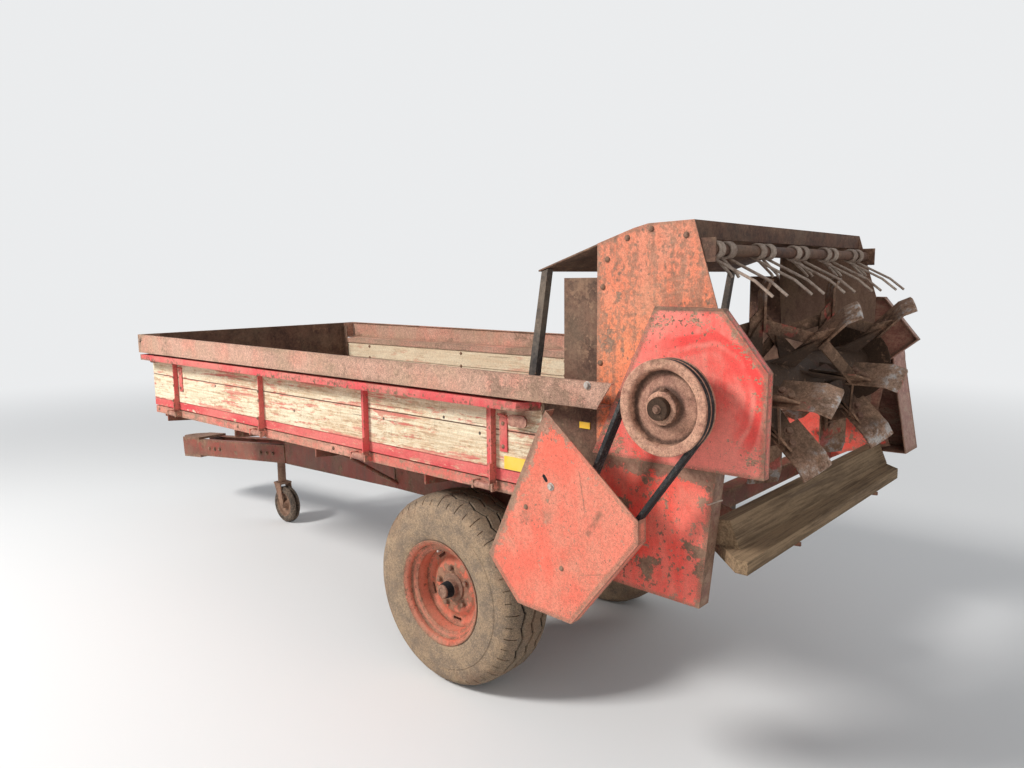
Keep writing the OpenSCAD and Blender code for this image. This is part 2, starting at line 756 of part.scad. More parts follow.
// Steelwork of a drop side: top strip, posts with hinge eyes, straps and latch handles
module side_steel(side) color(red) at_axle() on_side(side) {
    translate([-box_out - 6, -side_back, plank_top - 12])
        cube([6 - touch, box_front + side_back, 16]);
    translate([-box_out - 6, -side_back, plank_top + touch])
        cube([plank_t + 8, box_front + side_back, 4 - touch]);
    for (y = hinge_y)
        side_post(y);
    for (y = strap_y)
        side_strap(y);
    for (i = [0 : len(latch_y) - 1])
        latch_handle(latch_y[i], latch_z[i]);
}

// Angle-iron post: flange on the planks, web standing out, and a hinge eye at its foot
module side_post(y) {
    top = plank_top - 12 - touch;
    face = -box_out - touch;
    back = y - post_w / 2;
    translate([face - post_web_t, back, plank_edges[0]])
        cube([post_web_t, post_w, top - plank_edges[0]]);
    difference() {
        union() {
            translate([-hinge_x - eye_r, back, hinge_z])
                cube([hinge_x + eye_r + face - post_web_t + 1, post_web_t, plank_edges[0] + 60 - hinge_z]);
            translate([face - post_web_t - 20, back, plank_edges[0]])
                cube([21, post_web_t, top - plank_edges[0]]);
            translate([-hinge_x, back, hinge_z]) rotate([-90, 0, 0]) cylinder(r = eye_r, h = eye_l);
        }
        translate([-hinge_x, back - spare, hinge_z])
            rotate([-90, 0, 0]) cylinder(r = hinge_pin_r + 0.3, h = eye_l + 2 * spare);
    }
}

// Flat strap bolted beside a post, with its top bent outwards
module side_strap(y)
    translate([-box_out - touch, y + 17, strap_z]) rotate([90, 0, 0]) linear_extrude(34)
        polygon([[0, 0], [0, 126], [-16, 134], [-19, 129], [-5, 121], [-5, 0]]);

// Oval latch handle on a short stem
module latch_handle(y, z) {
    bar_x(-box_out - touch - 22, y, z, 9, 22);
    translate([-box_out - touch - 30, y, z]) rotate([0, 90, 0]) linear_extrude(8) {
        translate([0, -22]) circle(r = 20);
        translate([0, 22]) circle(r = 20);
        translate([-20, -22]) square([40, 44]);
    }
}

// Rotor shaft, drum and end discs
module rotor_drum() color(rust) at_axle() {
    bar_x(-belt_x - 50, -rotor_back, rotor_z, shaft_r, belt_x + 50 + panel_x + 70);
    difference() {
        bar_x(-drum_l / 2, -rotor_back, rotor_z, drum_r, drum_l);
        bar_x(-drum_l / 2 + 10, -rotor_back, rotor_z, drum_r - 8, drum_l - 20);
    }
    both_sides() bar_x(-drum_l / 2 - 6, -rotor_back, rotor_z, 150, 6);
}

// Flat triangular plate of thickness t on three points
module sheet(a, b, c, t) {
    u = (b - a) / norm(b - a);
    n = cross(b - a, c - a) / norm(cross(b - a, c - a));
    v = cross(n, u);
    translate(a)
        rotate([atan2(v[2], n[2]), asin(-u[2]), atan2(u[1], u[0])])
            linear_extrude(t) polygon([[0, 0], [norm(b - a), 0], [(c - a) * u, (c - a) * v]]);
}

// Point at radius r from the rotor axis, turned from straight up
function rotor_point(x, turn, r) = [x, -r * sin(turn), r * cos(turn)];

station_end = 95; // distance from the end of the drum to the middle of the last paddle
arm_root = drum_r * 0.8; // the arms are drawn from inside the drum and cut to its surface
flight_r = 215; // radius to the outer corner of a flight
bar_r = 190; // radius to the flat bars from arm to arm

// Flat bar between two points
module flat_bar(from, to, width, t) {
    run = to - from;
    flat = norm([run[0], run[1]]);
    translate(from) rotate([0, atan2(flat, run[2]), atan2(run[1], run[0])])
        translate([-width / 2, -t / 2, 0]) cube([width, t, norm(run)]);
}

// Two helices of bolted paddles on folded arms, with triangular flights between the arms
module rotor_paddles() color(rust) at_axle() translate([0, -rotor_back, rotor_z])
    difference() {
        pitch = (drum_l - 2 * station_end) / (paddle_n - 1);
        for (start = [0, 180], i = [0 : paddle_n - 1]) {
            x = -drum_l / 2 + station_end + i * pitch;
            turn = 90 + start + i * paddle_turn;
            last = turn - paddle_turn;
            translate([x, 0, 0]) rotate([turn, 0, 0]) paddle();
            if (i > 0) {
                sheet(
                    rotor_point(x - pitch, last, arm_root), rotor_point(x, turn, arm_root),
                    rotor_point(x, turn, flight_r), arm_t
                );
                flat_bar(rotor_point(x - pitch, last, bar_r), rotor_point(x, turn, bar_r), 40, arm_t);
            }
        }
        bar_x(-drum_l / 2 - spare, 0, 0, drum_r + touch, drum_l + 2 * spare);
    }

wing_turns = [155, 35]; // the two wings of an arm, seen along the arm
wing_l = [66, 74];
wing_reach = 250;

// One paddle, pointing straight up: a folded arm, a pocket across its fold and a bolted blade
module paddle() {
    for (i = [0, 1])
        rotate([0, 0, wing_turns[i]]) translate([0, arm_t / 2, 0]) rotate([90, 0, 0])
            linear_extrude(arm_t)
                polygon([
                    [0, arm_root], [wing_l[i], arm_root], [wing_l[i] * 0.7, wing_reach - 40], [0, wing_reach]
                ]);
    translate([0, 0, arm_root]) cylinder(r = arm_t * 0.6, h = wing_reach - arm_root - 4);
    sheet(
        [wing_l[0] * cos(wing_turns[0]), wing_l[0] * sin(wing_turns[0]), drum_r + 8],
        [wing_l[1] * cos(wing_turns[1]), wing_l[1] * sin(wing_turns[1]), drum_r + 8],
        [0, 0, drum_r + 110], arm_t
    );
    rotate([0, 0, wing_turns[1]]) intersection() {
        low = rotor_r - blade_l;
        face = 0.5 - arm_t / 2;
        translate([36 - blade_w / 2, 0, 0]) rotate([90, 0, 90]) linear_extrude(blade_w) polygon([
            [face, low], [face, rotor_r - 42], [face - 24, rotor_r + 12], [face - 24 - blade_t, rotor_r + 6],
            [face - blade_t, rotor_r - 44], [face - blade_t, low]
        ]);
        rotate([0, 0, -wing_turns[1]]) bar_x(-blade_w, 0, 0, rotor_r, 2 * blade_w);
    }
}

// Rotor pulley
module rotor_pulley() color(rust) at_axle()
    translate([-belt_x, -rotor_back, rotor_z]) pulley(big_pulley_r, 48, shaft_r + 0.2, 12);

// Drive shaft with its pulley
module drive_shaft() color(steel) at_axle() {
    bar_x(-belt_x - 34, -drive_back, drive_z, 17, belt_x + 34 - 100 - touch);
    translate([-belt_x, -drive_back, drive_z]) pulley(small_pulley_r, 32, 17, 40);
}

pto_r = 22;
pto_stub_r = 17.4;
pto_stub_l = 85;
pto_stub_y = 2275;

// Shaft from the gearbox to the stub in front, where the towing machine's shaft pushes on
module pto_shaft() color(steel) at_axle()
    translate([0, 0, drive_z]) rotate([-90, 0, 0]) {
        translate([0, 0, gear_front + touch]) cylinder(r = pto_r, h = pto_stub_y - gear_front - touch);
        translate([0, 0, pto_stub_y - spare]) cylinder(r = pto_stub_r, h = pto_stub_l + spare);
    }

// Tyre of a road wheel
module tyre(side) color(black) at_axle() on_side(side)
    translate([-wheel_x, 0, tyre_r]) rotate([0, -90, 0]) rotate_extrude($fn = 96)
        polygon(concat(tyre_profile(tyre_r, tyre_w / 2), tyre_profile_in()));

function tyre_profile(r, half) = [
    [195 + touch, -half + 28], [206, -half + 12], [250, -half], [300, -half + 2],
    [r - 26, -half + 22], [r - 6, -half + 50], [r, -30],
    [r, 30], [r - 6, half - 50], [r - 26, half - 22],
    [300, half - 2], [250, half], [206, half - 12], [195 + touch, half - 28]
];
function tyre_profile_in() = [
    [208, tyre_w / 2 - 30], [250, tyre_w / 2 - 14], [300, tyre_w / 2 - 16], [tyre_r - 34, tyre_w / 2 - 36],
    [tyre_r - 22, 0],
    [tyre_r - 34, -tyre_w / 2 + 36], [300, -tyre_w / 2 + 16], [250, -tyre_w / 2 + 14], [208, -tyre_w / 2 + 30]
];

// Steel wheel with its hub
module road_wheel(side) color("orangered") at_axle() on_side(side)
    translate([-wheel_x, 0, tyre_r]) rotate([0, -90, 0]) {
        rotate_extrude($fn = 96) {
            polygon([
                [rim_flange_r, 124], [rim_flange_r - 4, 126], [189, 114], [189, 100], [160, 90], [160, -30],
                [189, -60], [189, -114], [rim_flange_r - 4, -126], [rim_flange_r, -124], [195, -112],
                [195, -58], [166, -28], [166, 88], [195, 98], [195, 112]
            ]);
            translate([60, 20]) square([102, 8]);
        }
        rotate_extrude($fn = 64)
            polygon([
                [stub_r + hub_clear, -70], [70, -70], [70, 28], [52, 34], [52, 90], [44, 108],
                [0, 108], [0, 80], [stub_r + hub_clear, 80]
            ]);
    }

crown_z = 2 * jockey_r + 25; // top of the fork, where it turns on the leg
swivel_r = 12; // pin of the fork in the leg
swivel_l = 42;

// Sliding leg of the jockey wheel
module jockey_leg() color(steel) at_axle()
    translate([jockey_x, jockey_y, crown_z + touch])
        difference() {
            cylinder(r = leg_r, h = 900 - crown_z);
            translate([0, 0, -spare]) cylinder(r = swivel_r + touch, h = swivel_l + 2 * spare);
        }

// Fork of the jockey wheel
module jockey_fork() color(rust) at_axle() {
    translate([jockey_x - 42, jockey_y - 45, crown_z - 10]) cube([84, 80, 10]);
    translate([jockey_x, jockey_y, crown_z - 5]) cylinder(r = swivel_r, h = 5 + swivel_l);
    for (end = [-1, 1])
        translate([jockey_x + end * 38 - 4, 0, 0]) hull() {
            translate([0, jockey_y - 40, crown_z - 11]) cube([8, 70, 2]);
            translate([0, jockey_y - jockey_trail, jockey_r]) rotate([0, 90, 0])
                cylinder(r = 18, h = 8, $fn = 32);
        }
    bar_x(jockey_x - 46, jockey_y - jockey_trail, jockey_r, 8, 92);
}

// Jockey wheel
module jockey_wheel() color(black) at_axle()
    translate([jockey_x, jockey_y - jockey_trail, jockey_r]) rotate([0, 90, 0]) rotate_extrude($fn = 64)
        polygon([
            [8.5, -33], [24, -33], [24, -12], [70, -12], [76, -26], [100, -jockey_w / 2],
            [jockey_r - 8, -24], [jockey_r, -10], [jockey_r, 10], [jockey_r - 8, 24],
            [100, jockey_w / 2], [76, 26], [70, 12], [24, 12], [24, 33], [8.5, 33]
        ]);

stringers();
cross_members();
side_sills();
drawbar_beams();
drawbar_nose();
hitch_plates();
axle();
floor_boards();
conveyor();
conveyor_shafts();
front_wall();
rims();
extension_plates();
housing_plates();
bearing_panels();
lower_panels();
housing_roof();
hood_stays();
tine_bar();
spring_tines();
rear_beam();
rear_boards();
gearbox();
shaft_bearings();
belt_guard();
right_guard();
belts();
jockey_sleeve();
reflectors();
side_boards(-1);  // side_boards_left
side_steel(-1);  // side_steel_left
side_reflector(-1);  // side_reflector_left
side_boards(1);  // side_boards_right
side_steel(1);  // side_steel_right
side_reflector(1);  // side_reflector_right
rotor_drum();
rotor_paddles();
rotor_pulley();
drive_shaft();
pto_shaft();
tyre(-1);  // tyre_left
road_wheel(-1);  // wheel_left
tyre(1);  // tyre_right
road_wheel(1);  // wheel_right
jockey_leg();
jockey_fork();
jockey_wheel();
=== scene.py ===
"""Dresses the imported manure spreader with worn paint, timber, rubber and its small fittings."""

import math
import random
from functools import cached_property

import bpy
from mathutils import Matrix, Vector


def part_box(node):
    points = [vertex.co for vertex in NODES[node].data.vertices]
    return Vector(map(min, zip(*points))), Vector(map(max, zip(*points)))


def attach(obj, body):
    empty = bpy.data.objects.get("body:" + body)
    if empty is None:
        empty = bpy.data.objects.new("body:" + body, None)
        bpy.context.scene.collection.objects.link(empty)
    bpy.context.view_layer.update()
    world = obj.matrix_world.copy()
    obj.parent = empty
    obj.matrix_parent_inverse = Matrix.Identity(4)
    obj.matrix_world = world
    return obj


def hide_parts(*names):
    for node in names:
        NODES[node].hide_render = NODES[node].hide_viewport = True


bl_info = {
    "name": "Manure Spreader Dressing",
    "version": (1, 0, 0),
    "blender": (4, 5, 0),
    "location": "View3D > Sidebar > Spreader",
    "description": "Adds the finishes and small fittings of a worn manure spreader",
    "category": "Object",
}

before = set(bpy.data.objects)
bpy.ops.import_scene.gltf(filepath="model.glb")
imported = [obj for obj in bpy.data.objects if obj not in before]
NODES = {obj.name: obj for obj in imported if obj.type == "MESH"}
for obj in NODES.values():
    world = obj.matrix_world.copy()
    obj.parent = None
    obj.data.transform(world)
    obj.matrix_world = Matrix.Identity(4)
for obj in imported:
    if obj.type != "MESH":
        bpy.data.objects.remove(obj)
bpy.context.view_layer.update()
TYRE_LOW, TYRE_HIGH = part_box("tyre_left")
AXLE = (TYRE_LOW.y + TYRE_HIGH.y) / 2
WHEEL_RADIUS = (TYRE_HIGH.z - TYRE_LOW.z) / 2
WHEEL_X = abs(TYRE_LOW.x + TYRE_HIGH.x) / 2
CHASSIS = "chassis"
SIDES = (("left", -1.0), ("right", 1.0))


def at(x, y, z):
    """A point of the machine, with y counted from the wheel axle."""
    return Vector((x, y + AXLE, z))


ROTOR_Y, ROTOR_Z = -1.086, 1.243
DRIVE_Y, DRIVE_Z = -0.772, 0.694
PULLEY_PLACE = at(-0.802, ROTOR_Y, ROTOR_Z)


# Short ways to build shader nodes


class Field:
    """A value or colour that changes over the surface; sums and products of fields become nodes."""

    def __init__(self, shader, socket):
        self.shader, self.socket = shader, socket

    def __add__(self, other):
        return self.shader.math("ADD", self, other)

    def __radd__(self, other):
        return self.shader.math("ADD", other, self)

    def __sub__(self, other):
        return self.shader.math("SUBTRACT", self, other)

    def __rsub__(self, other):
        return self.shader.math("SUBTRACT", other, self)

    def __mul__(self, other):
        return self.shader.math("MULTIPLY", self, other)

    def __abs__(self):
        return self.shader.math("ABSOLUTE", self)

    def ramp(self, low, high, to_low=0.0, to_high=1.0):
        """Eases from one value to another while the field goes from low to high."""
        made = self.shader.node("ShaderNodeMapRange", interpolation_type="SMOOTHSTEP")
        for socket, given in zip(made.inputs[:5], (self, low, high, to_low, to_high)):
            self.shader.put(socket, given)
        return Field(self.shader, made.outputs[0])


class Shader:
    """A node tree with short ways to add and join its nodes, and the point's own coordinates."""

    def __init__(self, tree):
        self.tree = tree

    @cached_property
    def point(self):
        return Field(self, self.node("ShaderNodeTexCoord").outputs["Object"])

    @cached_property
    def place(self):
        """The point's x, y and z."""
        return self.split(self.point)

    @cached_property
    def facing(self):
        """The x, y and z of the surface's normal."""
        return self.split(self.node("ShaderNodeNewGeometry").outputs["Normal"])

    def put(self, socket, value):
        value = getattr(value, "socket", value)
        if isinstance(value, bpy.types.NodeSocket):
            self.tree.links.new(value, socket)
        else:
            socket.default_value = (*value, 1.0) if socket.type == "RGBA" else value

    def node(self, kind, **values):
        """Adds a node; a value goes to the property of its name, or else to the input."""
        made = self.tree.nodes.new(kind)
        for key, value in values.items():
            if hasattr(made, key):
                setattr(made, key, value)
            else:
                self.put(made.inputs[key.replace("_", " ")], value)
        return made

    def group(self, name, **values):
        """Places a shared effect; gives what it puts out, by name."""
        made = self.node("ShaderNodeGroup", node_tree=GROUPS[name], **values)
        return {socket.name: Field(self, socket) for socket in made.outputs}

    def split(self, vector):
        return [Field(self, socket) for socket in self.node("ShaderNodeSeparateXYZ", Vector=vector).outputs]

    def join(self, x, y, z):
        return self.node("ShaderNodeCombineXYZ", X=x, Y=y, Z=z).outputs[0]

    def math(self, operation, a, b=0.0, clamp=False):
        made = self.node("ShaderNodeMath", operation=operation, use_clamp=clamp)
        self.put(made.inputs[0], a)
        self.put(made.inputs[1], b)
        return Field(self, made.outputs[0])

    def most(self, a, b, clamp=False):
        return self.math("MAXIMUM", a, b, clamp)

    def mix(self, factor, a, b, blend="MIX"):
        made = self.node("ShaderNodeMix", data_type="RGBA", blend_type=blend)
        for i, value in ((0, factor), (6, a), (7, b)):
            self.put(made.inputs[i], value)
        return Field(self, made.outputs[2])

    def two_tone(self, field, low, high, dark, light):
        return self.mix(field.ramp(low, high), dark, light)

    def moved(self, move, scale=(1, 1, 1)):
        return self.node("ShaderNodeMapping", Vector=self.point, Location=move, Scale=scale).outputs[0]

    def noise(self, scale, detail, rough, move=None, stretch=(1, 1, 1), distort=0.0, vector=None):
        """Noise over the surface, or over another vector, from its own corner of the pattern."""
        if vector is None:
            vector = self.moved(move, stretch) if move else self.point
        made = self.node(
            "ShaderNodeTexNoise", Vector=vector, Scale=scale, Detail=detail, Roughness=rough, Distortion=distort
        )
        return Field(self, made.outputs[0])

    def reach(self, y, z):
        """Distance from a line along x through y and z."""
        across, height = self.place[1] - y, self.place[2] - z
        return self.math("SQRT", across * across + height * height)


# Effects that several materials share, as node groups


def new_group(name, inputs, outputs):
    """A node group with its sockets; gives its shader and its inputs, by name."""
    tree = bpy.data.node_groups.new(name, "ShaderNodeTree")
    for label, value in inputs.items():
        kind = "Float" if isinstance(value, float) else "Color"
        tree.interface.new_socket(label, in_out="INPUT", socket_type="NodeSocket" + kind).default_value = value
    for label, kind in outputs.items():
        tree.interface.new_socket(label, in_out="OUTPUT", socket_type="NodeSocket" + kind)
    s = Shader(tree)
    return s, {socket.name: Field(s, socket) for socket in s.node("NodeGroupInput").outputs}


def chips_group():
    """Where the paint is gone: broad patches, small chips that crowd at the edges, and runs."""
    s, given = new_group(
        "Paint Chips",
        {"Patches": 0.3, "Chips": 0.3, "Runs": 0.0, "Edge": 0.5, "Fineness": 62.0, "Pale": 0.0},
        {"Mask": "Float", "Rust": "Color", "Height": "Float"},
    )
    rounded = s.node("ShaderNodeBevel", samples=6, Radius=0.022).outputs[0]
    plain = s.node("ShaderNodeNewGeometry").outputs["Normal"]
    dot = s.node("ShaderNodeVectorMath", operation="DOT_PRODUCT")
    s.put(dot.inputs[0], rounded)
    s.put(dot.inputs[1], plain)
    near_edge = (1.0 - Field(s, dot.outputs["Value"])).ramp(0.0, 0.12) * given["Edge"]
    broad = s.noise(7.0, 9.0, 0.72)
    fine = s.noise(given["Fineness"], 5.0, 0.62, (4, 8, 1))
    spread = s.noise(3.2, 3.0, 0.5, (9, 3, 5))
    runs = s.noise(30.0, 8.0, 0.74, (3, 1, 7), (1, 1, 0.16))
    lift = near_edge * 0.22 + (spread - 0.5) * 0.3

    def gone(level, edge):
        return level.ramp(edge, edge + 0.02)

    patches = gone(broad + lift, 0.74 - given["Patches"] * 0.36)
    chips = gone(fine + lift, 0.78 - given["Chips"] * 0.34)
    runs = (runs * 0.55 + fine * 0.45 + lift * 1.5).ramp(0.520, 0.600) * given["Runs"]
    mask = s.most(s.most(patches, chips), runs, True)
    tone = s.noise(44.0, 7.0, 0.74, (5, 2, 9))
    rust = s.two_tone(tone, 0.36, 0.66, (0.115, 0.060, 0.040), (0.30, 0.170, 0.105))
    rust = s.mix(given["Pale"], rust, s.mix(tone, (0.20, 0.115, 0.080), (0.44, 0.27, 0.19)))
    s.node("NodeGroupOutput", Mask=mask, Rust=rust, Height=tone * 0.5 - mask)
    return s.tree


def film_group():
    """Dried soil: an uneven film, thicker towards the ground, with dust on faces that look up."""
    s, given = new_group(
        "Soil Film", {"Film": 0.3, "Low": 0.3, "Dust": 0.3}, {"Mask": "Float", "Soil": "Color", "Grain": "Float"}
    )
    clouds = s.noise(4.2, 8.0, 0.68, (7, 4, 2), distort=0.3)
    grain = s.noise(190.0, 3.0, 0.7, (1, 6, 8))
    broken = clouds * 0.7 + grain * 0.3
    film = broken.ramp(0.40, 0.64) * given["Film"]
    low = s.place[2].ramp(0.85, 0.1) * broken.ramp(0.36, 0.58) * given["Low"]
    dust = s.facing[2].ramp(0.4, 0.95) * broken.ramp(0.36, 0.6) * given["Dust"]
    mask = s.most(film, s.most(low, dust), True)
    soil = s.two_tone(clouds, 0.35, 0.65, (0.21, 0.135, 0.083), (0.38, 0.265, 0.170))
    s.node("NodeGroupOutput", Mask=mask, Soil=soil, Grain=grain)
    return s.tree


def grit_group():
    """Light and dark specks over a colour, as on old sunlit paint and rust."""
    s, given = new_group("Fine Grit", {"Color": (0.5, 0.5, 0.5, 1), "Amount": 0.3}, {"Color": "Color"})
    level = s.noise(330.0, 2.0, 0.6) * 0.55 + s.noise(95.0, 4.0, 0.7, (2, 2, 2)) * 0.45
    factor = 1.0 + level.ramp(0.32, 0.68, -1.0, 1.0) * given["Amount"]
    s.node("NodeGroupOutput", Color=s.mix(1.0, given["Color"], s.join(factor, factor, factor), "MULTIPLY"))
    return s.tree


GROUPS = {}


# Materials


def new_material(name):
    material = bpy.data.materials.new(name)
    material.use_nodes = True
    material.node_tree.nodes.clear()
    s = Shader(material.node_tree)
    surface = s.node("ShaderNodeBsdfPrincipled")
    s.node("ShaderNodeOutputMaterial", Surface=surface.outputs[0])
    return material, s, surface


def set_surface(s, surface, colour, roughness, height, distance, strength=0.6):
    for name, value in (("Base Color", colour), ("Roughness", roughness)):
        s.put(surface.inputs[name], value)
    bump = s.node("ShaderNodeBump", Strength=strength, Distance=distance, Height=height)
    s.put(surface.inputs["Normal"], bump.outputs[0])


def gritty(s, body, amount):
    return s.group("Fine Grit", Color=body, Amount=amount)["Color"]


def soil_over(s, body, **amounts):
    """A film of soil over a colour; gives the colour, and where the film lies and its grain."""
    soil = s.group("Soil Film", **amounts)
    return s.mix(soil["Mask"], body, soil["Soil"]), soil


def painted_steel(
    name, fresh, faded, patches, chips, film, runs=0.0, edge=0.5, fade=0.5,
    low=0.3, dust=0.25, grit=0.16, gloss=0.4, fineness=62.0, pale=0.0, extra=None,
):
    """Old paint: clouds from fresh to faded, chips, patches and runs of rust, soil and grit; 0 is none."""
    material, s, surface = new_material(name)
    clouds = s.noise(4.5, 6.0, 0.6, (1, 2, 3), distort=0.5)
    wipes = s.noise(22.0, 4.0, 0.6, (6, 2, 3), (1, 1, 0.2))
    middle = 0.66 - 0.32 * fade
    body = s.two_tone(clouds * 0.7 + wipes * 0.3, middle - 0.09, middle + 0.09, fresh, faded)
    if extra:
        body = extra(s, body)
    worn = s.group(
        "Paint Chips", Patches=patches, Chips=chips, Runs=runs, Edge=edge, Fineness=fineness, Pale=pale
    )
    body = s.mix(worn["Mask"], body, worn["Rust"])
    body, soil = soil_over(s, body, Film=film, Low=low, Dust=dust)
    surface.inputs["Specular IOR Level"].default_value = 0.3
    rough = s.most(worn["Mask"], soil["Mask"]).ramp(0.0, 0.8, 1.0 - gloss, 0.9)
    set_surface(s, surface, gritty(s, body, grit), rough, worn["Height"] + soil["Grain"] * 0.3, 0.0009)
    return material


def bare_steel(name, dark, light, film, rust=0.4, low=0.4, grit=0.2, shine=0.2, depth=0.0012, extra=None):
    """Unpainted steel: rust clouds, dried soil and fine grit."""
    material, s, surface = new_material(name)
    tone = s.noise(9.0, 9.0, 0.7) * 0.6 + s.noise(70.0, 5.0, 0.7, (3, 3, 1)) * 0.4
    body = s.two_tone(tone, 0.38, 0.62, dark, light)
    worn = s.group("Paint Chips", Patches=rust, Chips=rust, Runs=0.0, Edge=0.3)
    body = s.mix(worn["Mask"] * 0.75, body, worn["Rust"])
    body, soil = soil_over(s, body, Film=film, Low=low, Dust=0.3)
    if extra:
        body = extra(s, body)
    surface.inputs["Specular IOR Level"].default_value = shine
    rough = tone.ramp(0.3, 0.7, 0.85 - shine, 0.92)
    set_surface(s, surface, gritty(s, body, grit), rough, tone + soil["Grain"] * 0.25, depth)
    return material


def timber(name, light, dark, knots, along="Y", extra=None, film=0.15, grit=0.12):
    """Weathered board: fine grain along one axis, checks, knots, and what is left of its paint."""
    material, s, surface = new_material(name)

    def stretch(share):
        return (1, share, 1) if along == "Y" else (share, 1, 1)

    fine_way = stretch(0.035)
    grain = s.noise(130.0, 4.0, 0.6, (0.3, 0.7, 0.1), fine_way, 0.3)
    fibres = s.noise(420.0, 2.0, 0.6, (2, 1, 4), fine_way)
    clouds = s.noise(7.0, 6.0, 0.62, (2, 5, 1), stretch(0.3))
    tone = grain * 0.45 + fibres * 0.2 + clouds * 0.35
    body = s.two_tone(tone, 0.39, 0.61, dark, light)
    checks = s.noise(62.0, 2.0, 0.5, (7, 1, 3), fine_way).ramp(0.325, 0.295)
    body = s.mix(checks * 0.7, body, (0.13, 0.085, 0.055))
    cells = s.node("ShaderNodeTexVoronoi", Vector=s.moved((0.13, 0.4, 0.2), stretch(0.4)), Scale=5.2)
    knot = Field(s, cells.outputs["Distance"]).ramp(0.07, 0.035) * knots
    body = s.mix(knot, body, s.mix(0.4, dark, (0.10, 0.055, 0.03)))
    if extra:
        body = extra(s, body, grain)
    body, _ = soil_over(s, body, Film=film, Low=0.1, Dust=0.2)
    surface.inputs["Specular IOR Level"].default_value = 0.2
    set_surface(s, surface, gritty(s, body, grit), 0.88, tone - checks * 0.8, 0.0018, 0.7)
    return material


PLANK_JOINTS = (0.936, 1.074)
PLANK_INSIDE = 0.664


def plank_paint(s, body, grain):
    """Cream paint worn to the wood in flecks, red left in thin lines; a red bottom plank."""
    across, _, height = s.place
    strips = s.noise(46.0, 6.0, 0.68, (4, 1, 2), (1, 0.07, 1))
    flecks = s.noise(52.0, 9.0, 0.80, (8, 2, 6), (1, 0.3, 1))
    fields = s.noise(4.5, 4.0, 0.6, (1, 7, 2), (1, 0.4, 1))
    low_gap, high_gap = (abs(height - joint) for joint in PLANK_JOINTS)
    gap = s.math("MINIMUM", low_gap, high_gap)
    wood = s.two_tone(grain, 0.42, 0.58, (0.40, 0.235, 0.135), (0.66, 0.47, 0.29))
    body = s.mix((flecks * 0.62 + fields * 0.38).ramp(0.515, 0.545, 0.0, 0.72), body, wood)
    level = strips * 0.48 + flecks * 0.27 + fields * 0.25 + gap.ramp(0.022, 0.0, 0.0, 0.035)
    red = s.two_tone(grain, 0.4, 0.6, (0.58, 0.13, 0.11), (0.66, 0.31, 0.22))
    body = s.mix(level.ramp(0.545, 0.570, 0.0, 0.85), body, red)
    marks = s.noise(70.0, 4.0, 0.7, (3, 6, 1), (1, 1, 0.12))
    body = s.mix(marks.ramp(0.615, 0.66, 0.0, 0.32), body, (0.25, 0.15, 0.09))
    body = s.mix(gap.ramp(0.0036, 0.0016, 0.0, 0.88), body, (0.14, 0.065, 0.045))
    low_plank = height.ramp(PLANK_JOINTS[0] + 0.003, PLANK_JOINTS[0] + 0.0005)
    kept = low_plank * (flecks * 0.6 + strips * 0.4).ramp(0.575, 0.550)
    body = s.mix(kept, body, s.two_tone(fields, 0.42, 0.60, (0.60, 0.075, 0.08), (0.66, 0.16, 0.14)))
    inner = abs(across).ramp(PLANK_INSIDE, PLANK_INSIDE - 0.009)
    return s.mix(inner * 0.45, body, (0.80, 0.60, 0.41))


PANEL_OUTSIDE = -0.690
# Heights where the painted shadow under the panel's top fold fades in and out
PANEL_FOLD_SHADOW = (1.493, 1.4955, 1.5045, 1.5035)
WIPED_RINGS = ((0.143, 0.152, 0.6), (0.172, 0.190, 0.95))


def panel_wear(s, body):
    """Wiped, brighter arcs round the big pulley, scraped edges, a painted shadow under the top fold; all brown
    on the right.
    """
    across, along, height = s.place
    behind = (along - PULLEY_PLACE.y) * -0.75
    part = (behind + (height - PULLEY_PLACE.z) * 0.65).ramp(0.02, 0.10)
    part = part * across.ramp(PANEL_OUTSIDE, PANEL_OUTSIDE - 0.005)
    reach = s.reach(PULLEY_PLACE.y, PULLEY_PLACE.z)
    near_edge = reach.ramp(0.16, 0.27)
    wander = s.noise(5.0, 2.0, 0.5, (2, 9, 4))
    reach = reach + (wander - 0.5) * 0.10 + behind * -0.14
    for inner, outer, share in WIPED_RINGS:
        ring = reach.ramp(inner - 0.008, inner + 0.004) * reach.ramp(outer + 0.010, outer) * part
        body = s.mix(ring * share, body, (0.84, 0.065, 0.055))
    scrapes = s.noise(38.0, 9.0, 0.8, (2, 2, 2), (1, 0.55, 1.1))
    fine = s.noise(150.0, 3.0, 0.6, (5, 2, 9))
    level = scrapes * 0.75 + fine * 0.25 + near_edge * 0.075
    olive = s.two_tone(fine, 0.4, 0.6, (0.20, 0.125, 0.075), (0.40, 0.27, 0.17))
    body = s.mix(level.ramp(0.585, 0.605, 0.0, 0.92), body, olive)
    # Painted shadow: a dark line along the panel's top, under its folded edge
    fold = height.ramp(*PANEL_FOLD_SHADOW[:2]) * height.ramp(*PANEL_FOLD_SHADOW[2:])
    body = s.mix(fold * 0.85, body, (0.07, 0.042, 0.030))
    dusty = s.two_tone(scrapes, 0.40, 0.62, (0.17, 0.090, 0.062), (0.40, 0.24, 0.165))
    return s.mix(across.ramp(-0.1, 0.1, 0.0, 0.86), body, dusty)


GUARD_CORNER = (-0.715, 1.203)
GUARD_FRONT_WAY = (-0.901, -0.434)
# Start and end (y, z) and half width of each dent or scratch
GUARD_MARKS = [
    ((-0.839, 1.043), (-0.862, 0.911), 0.0036),
    ((-0.921, 0.940), (-0.865, 0.852), 0.016),
    ((-0.839, 0.730), (-0.943, 0.758), 0.0022),
    ((-0.619, 0.860), (-0.622, 0.835), 0.010),
]


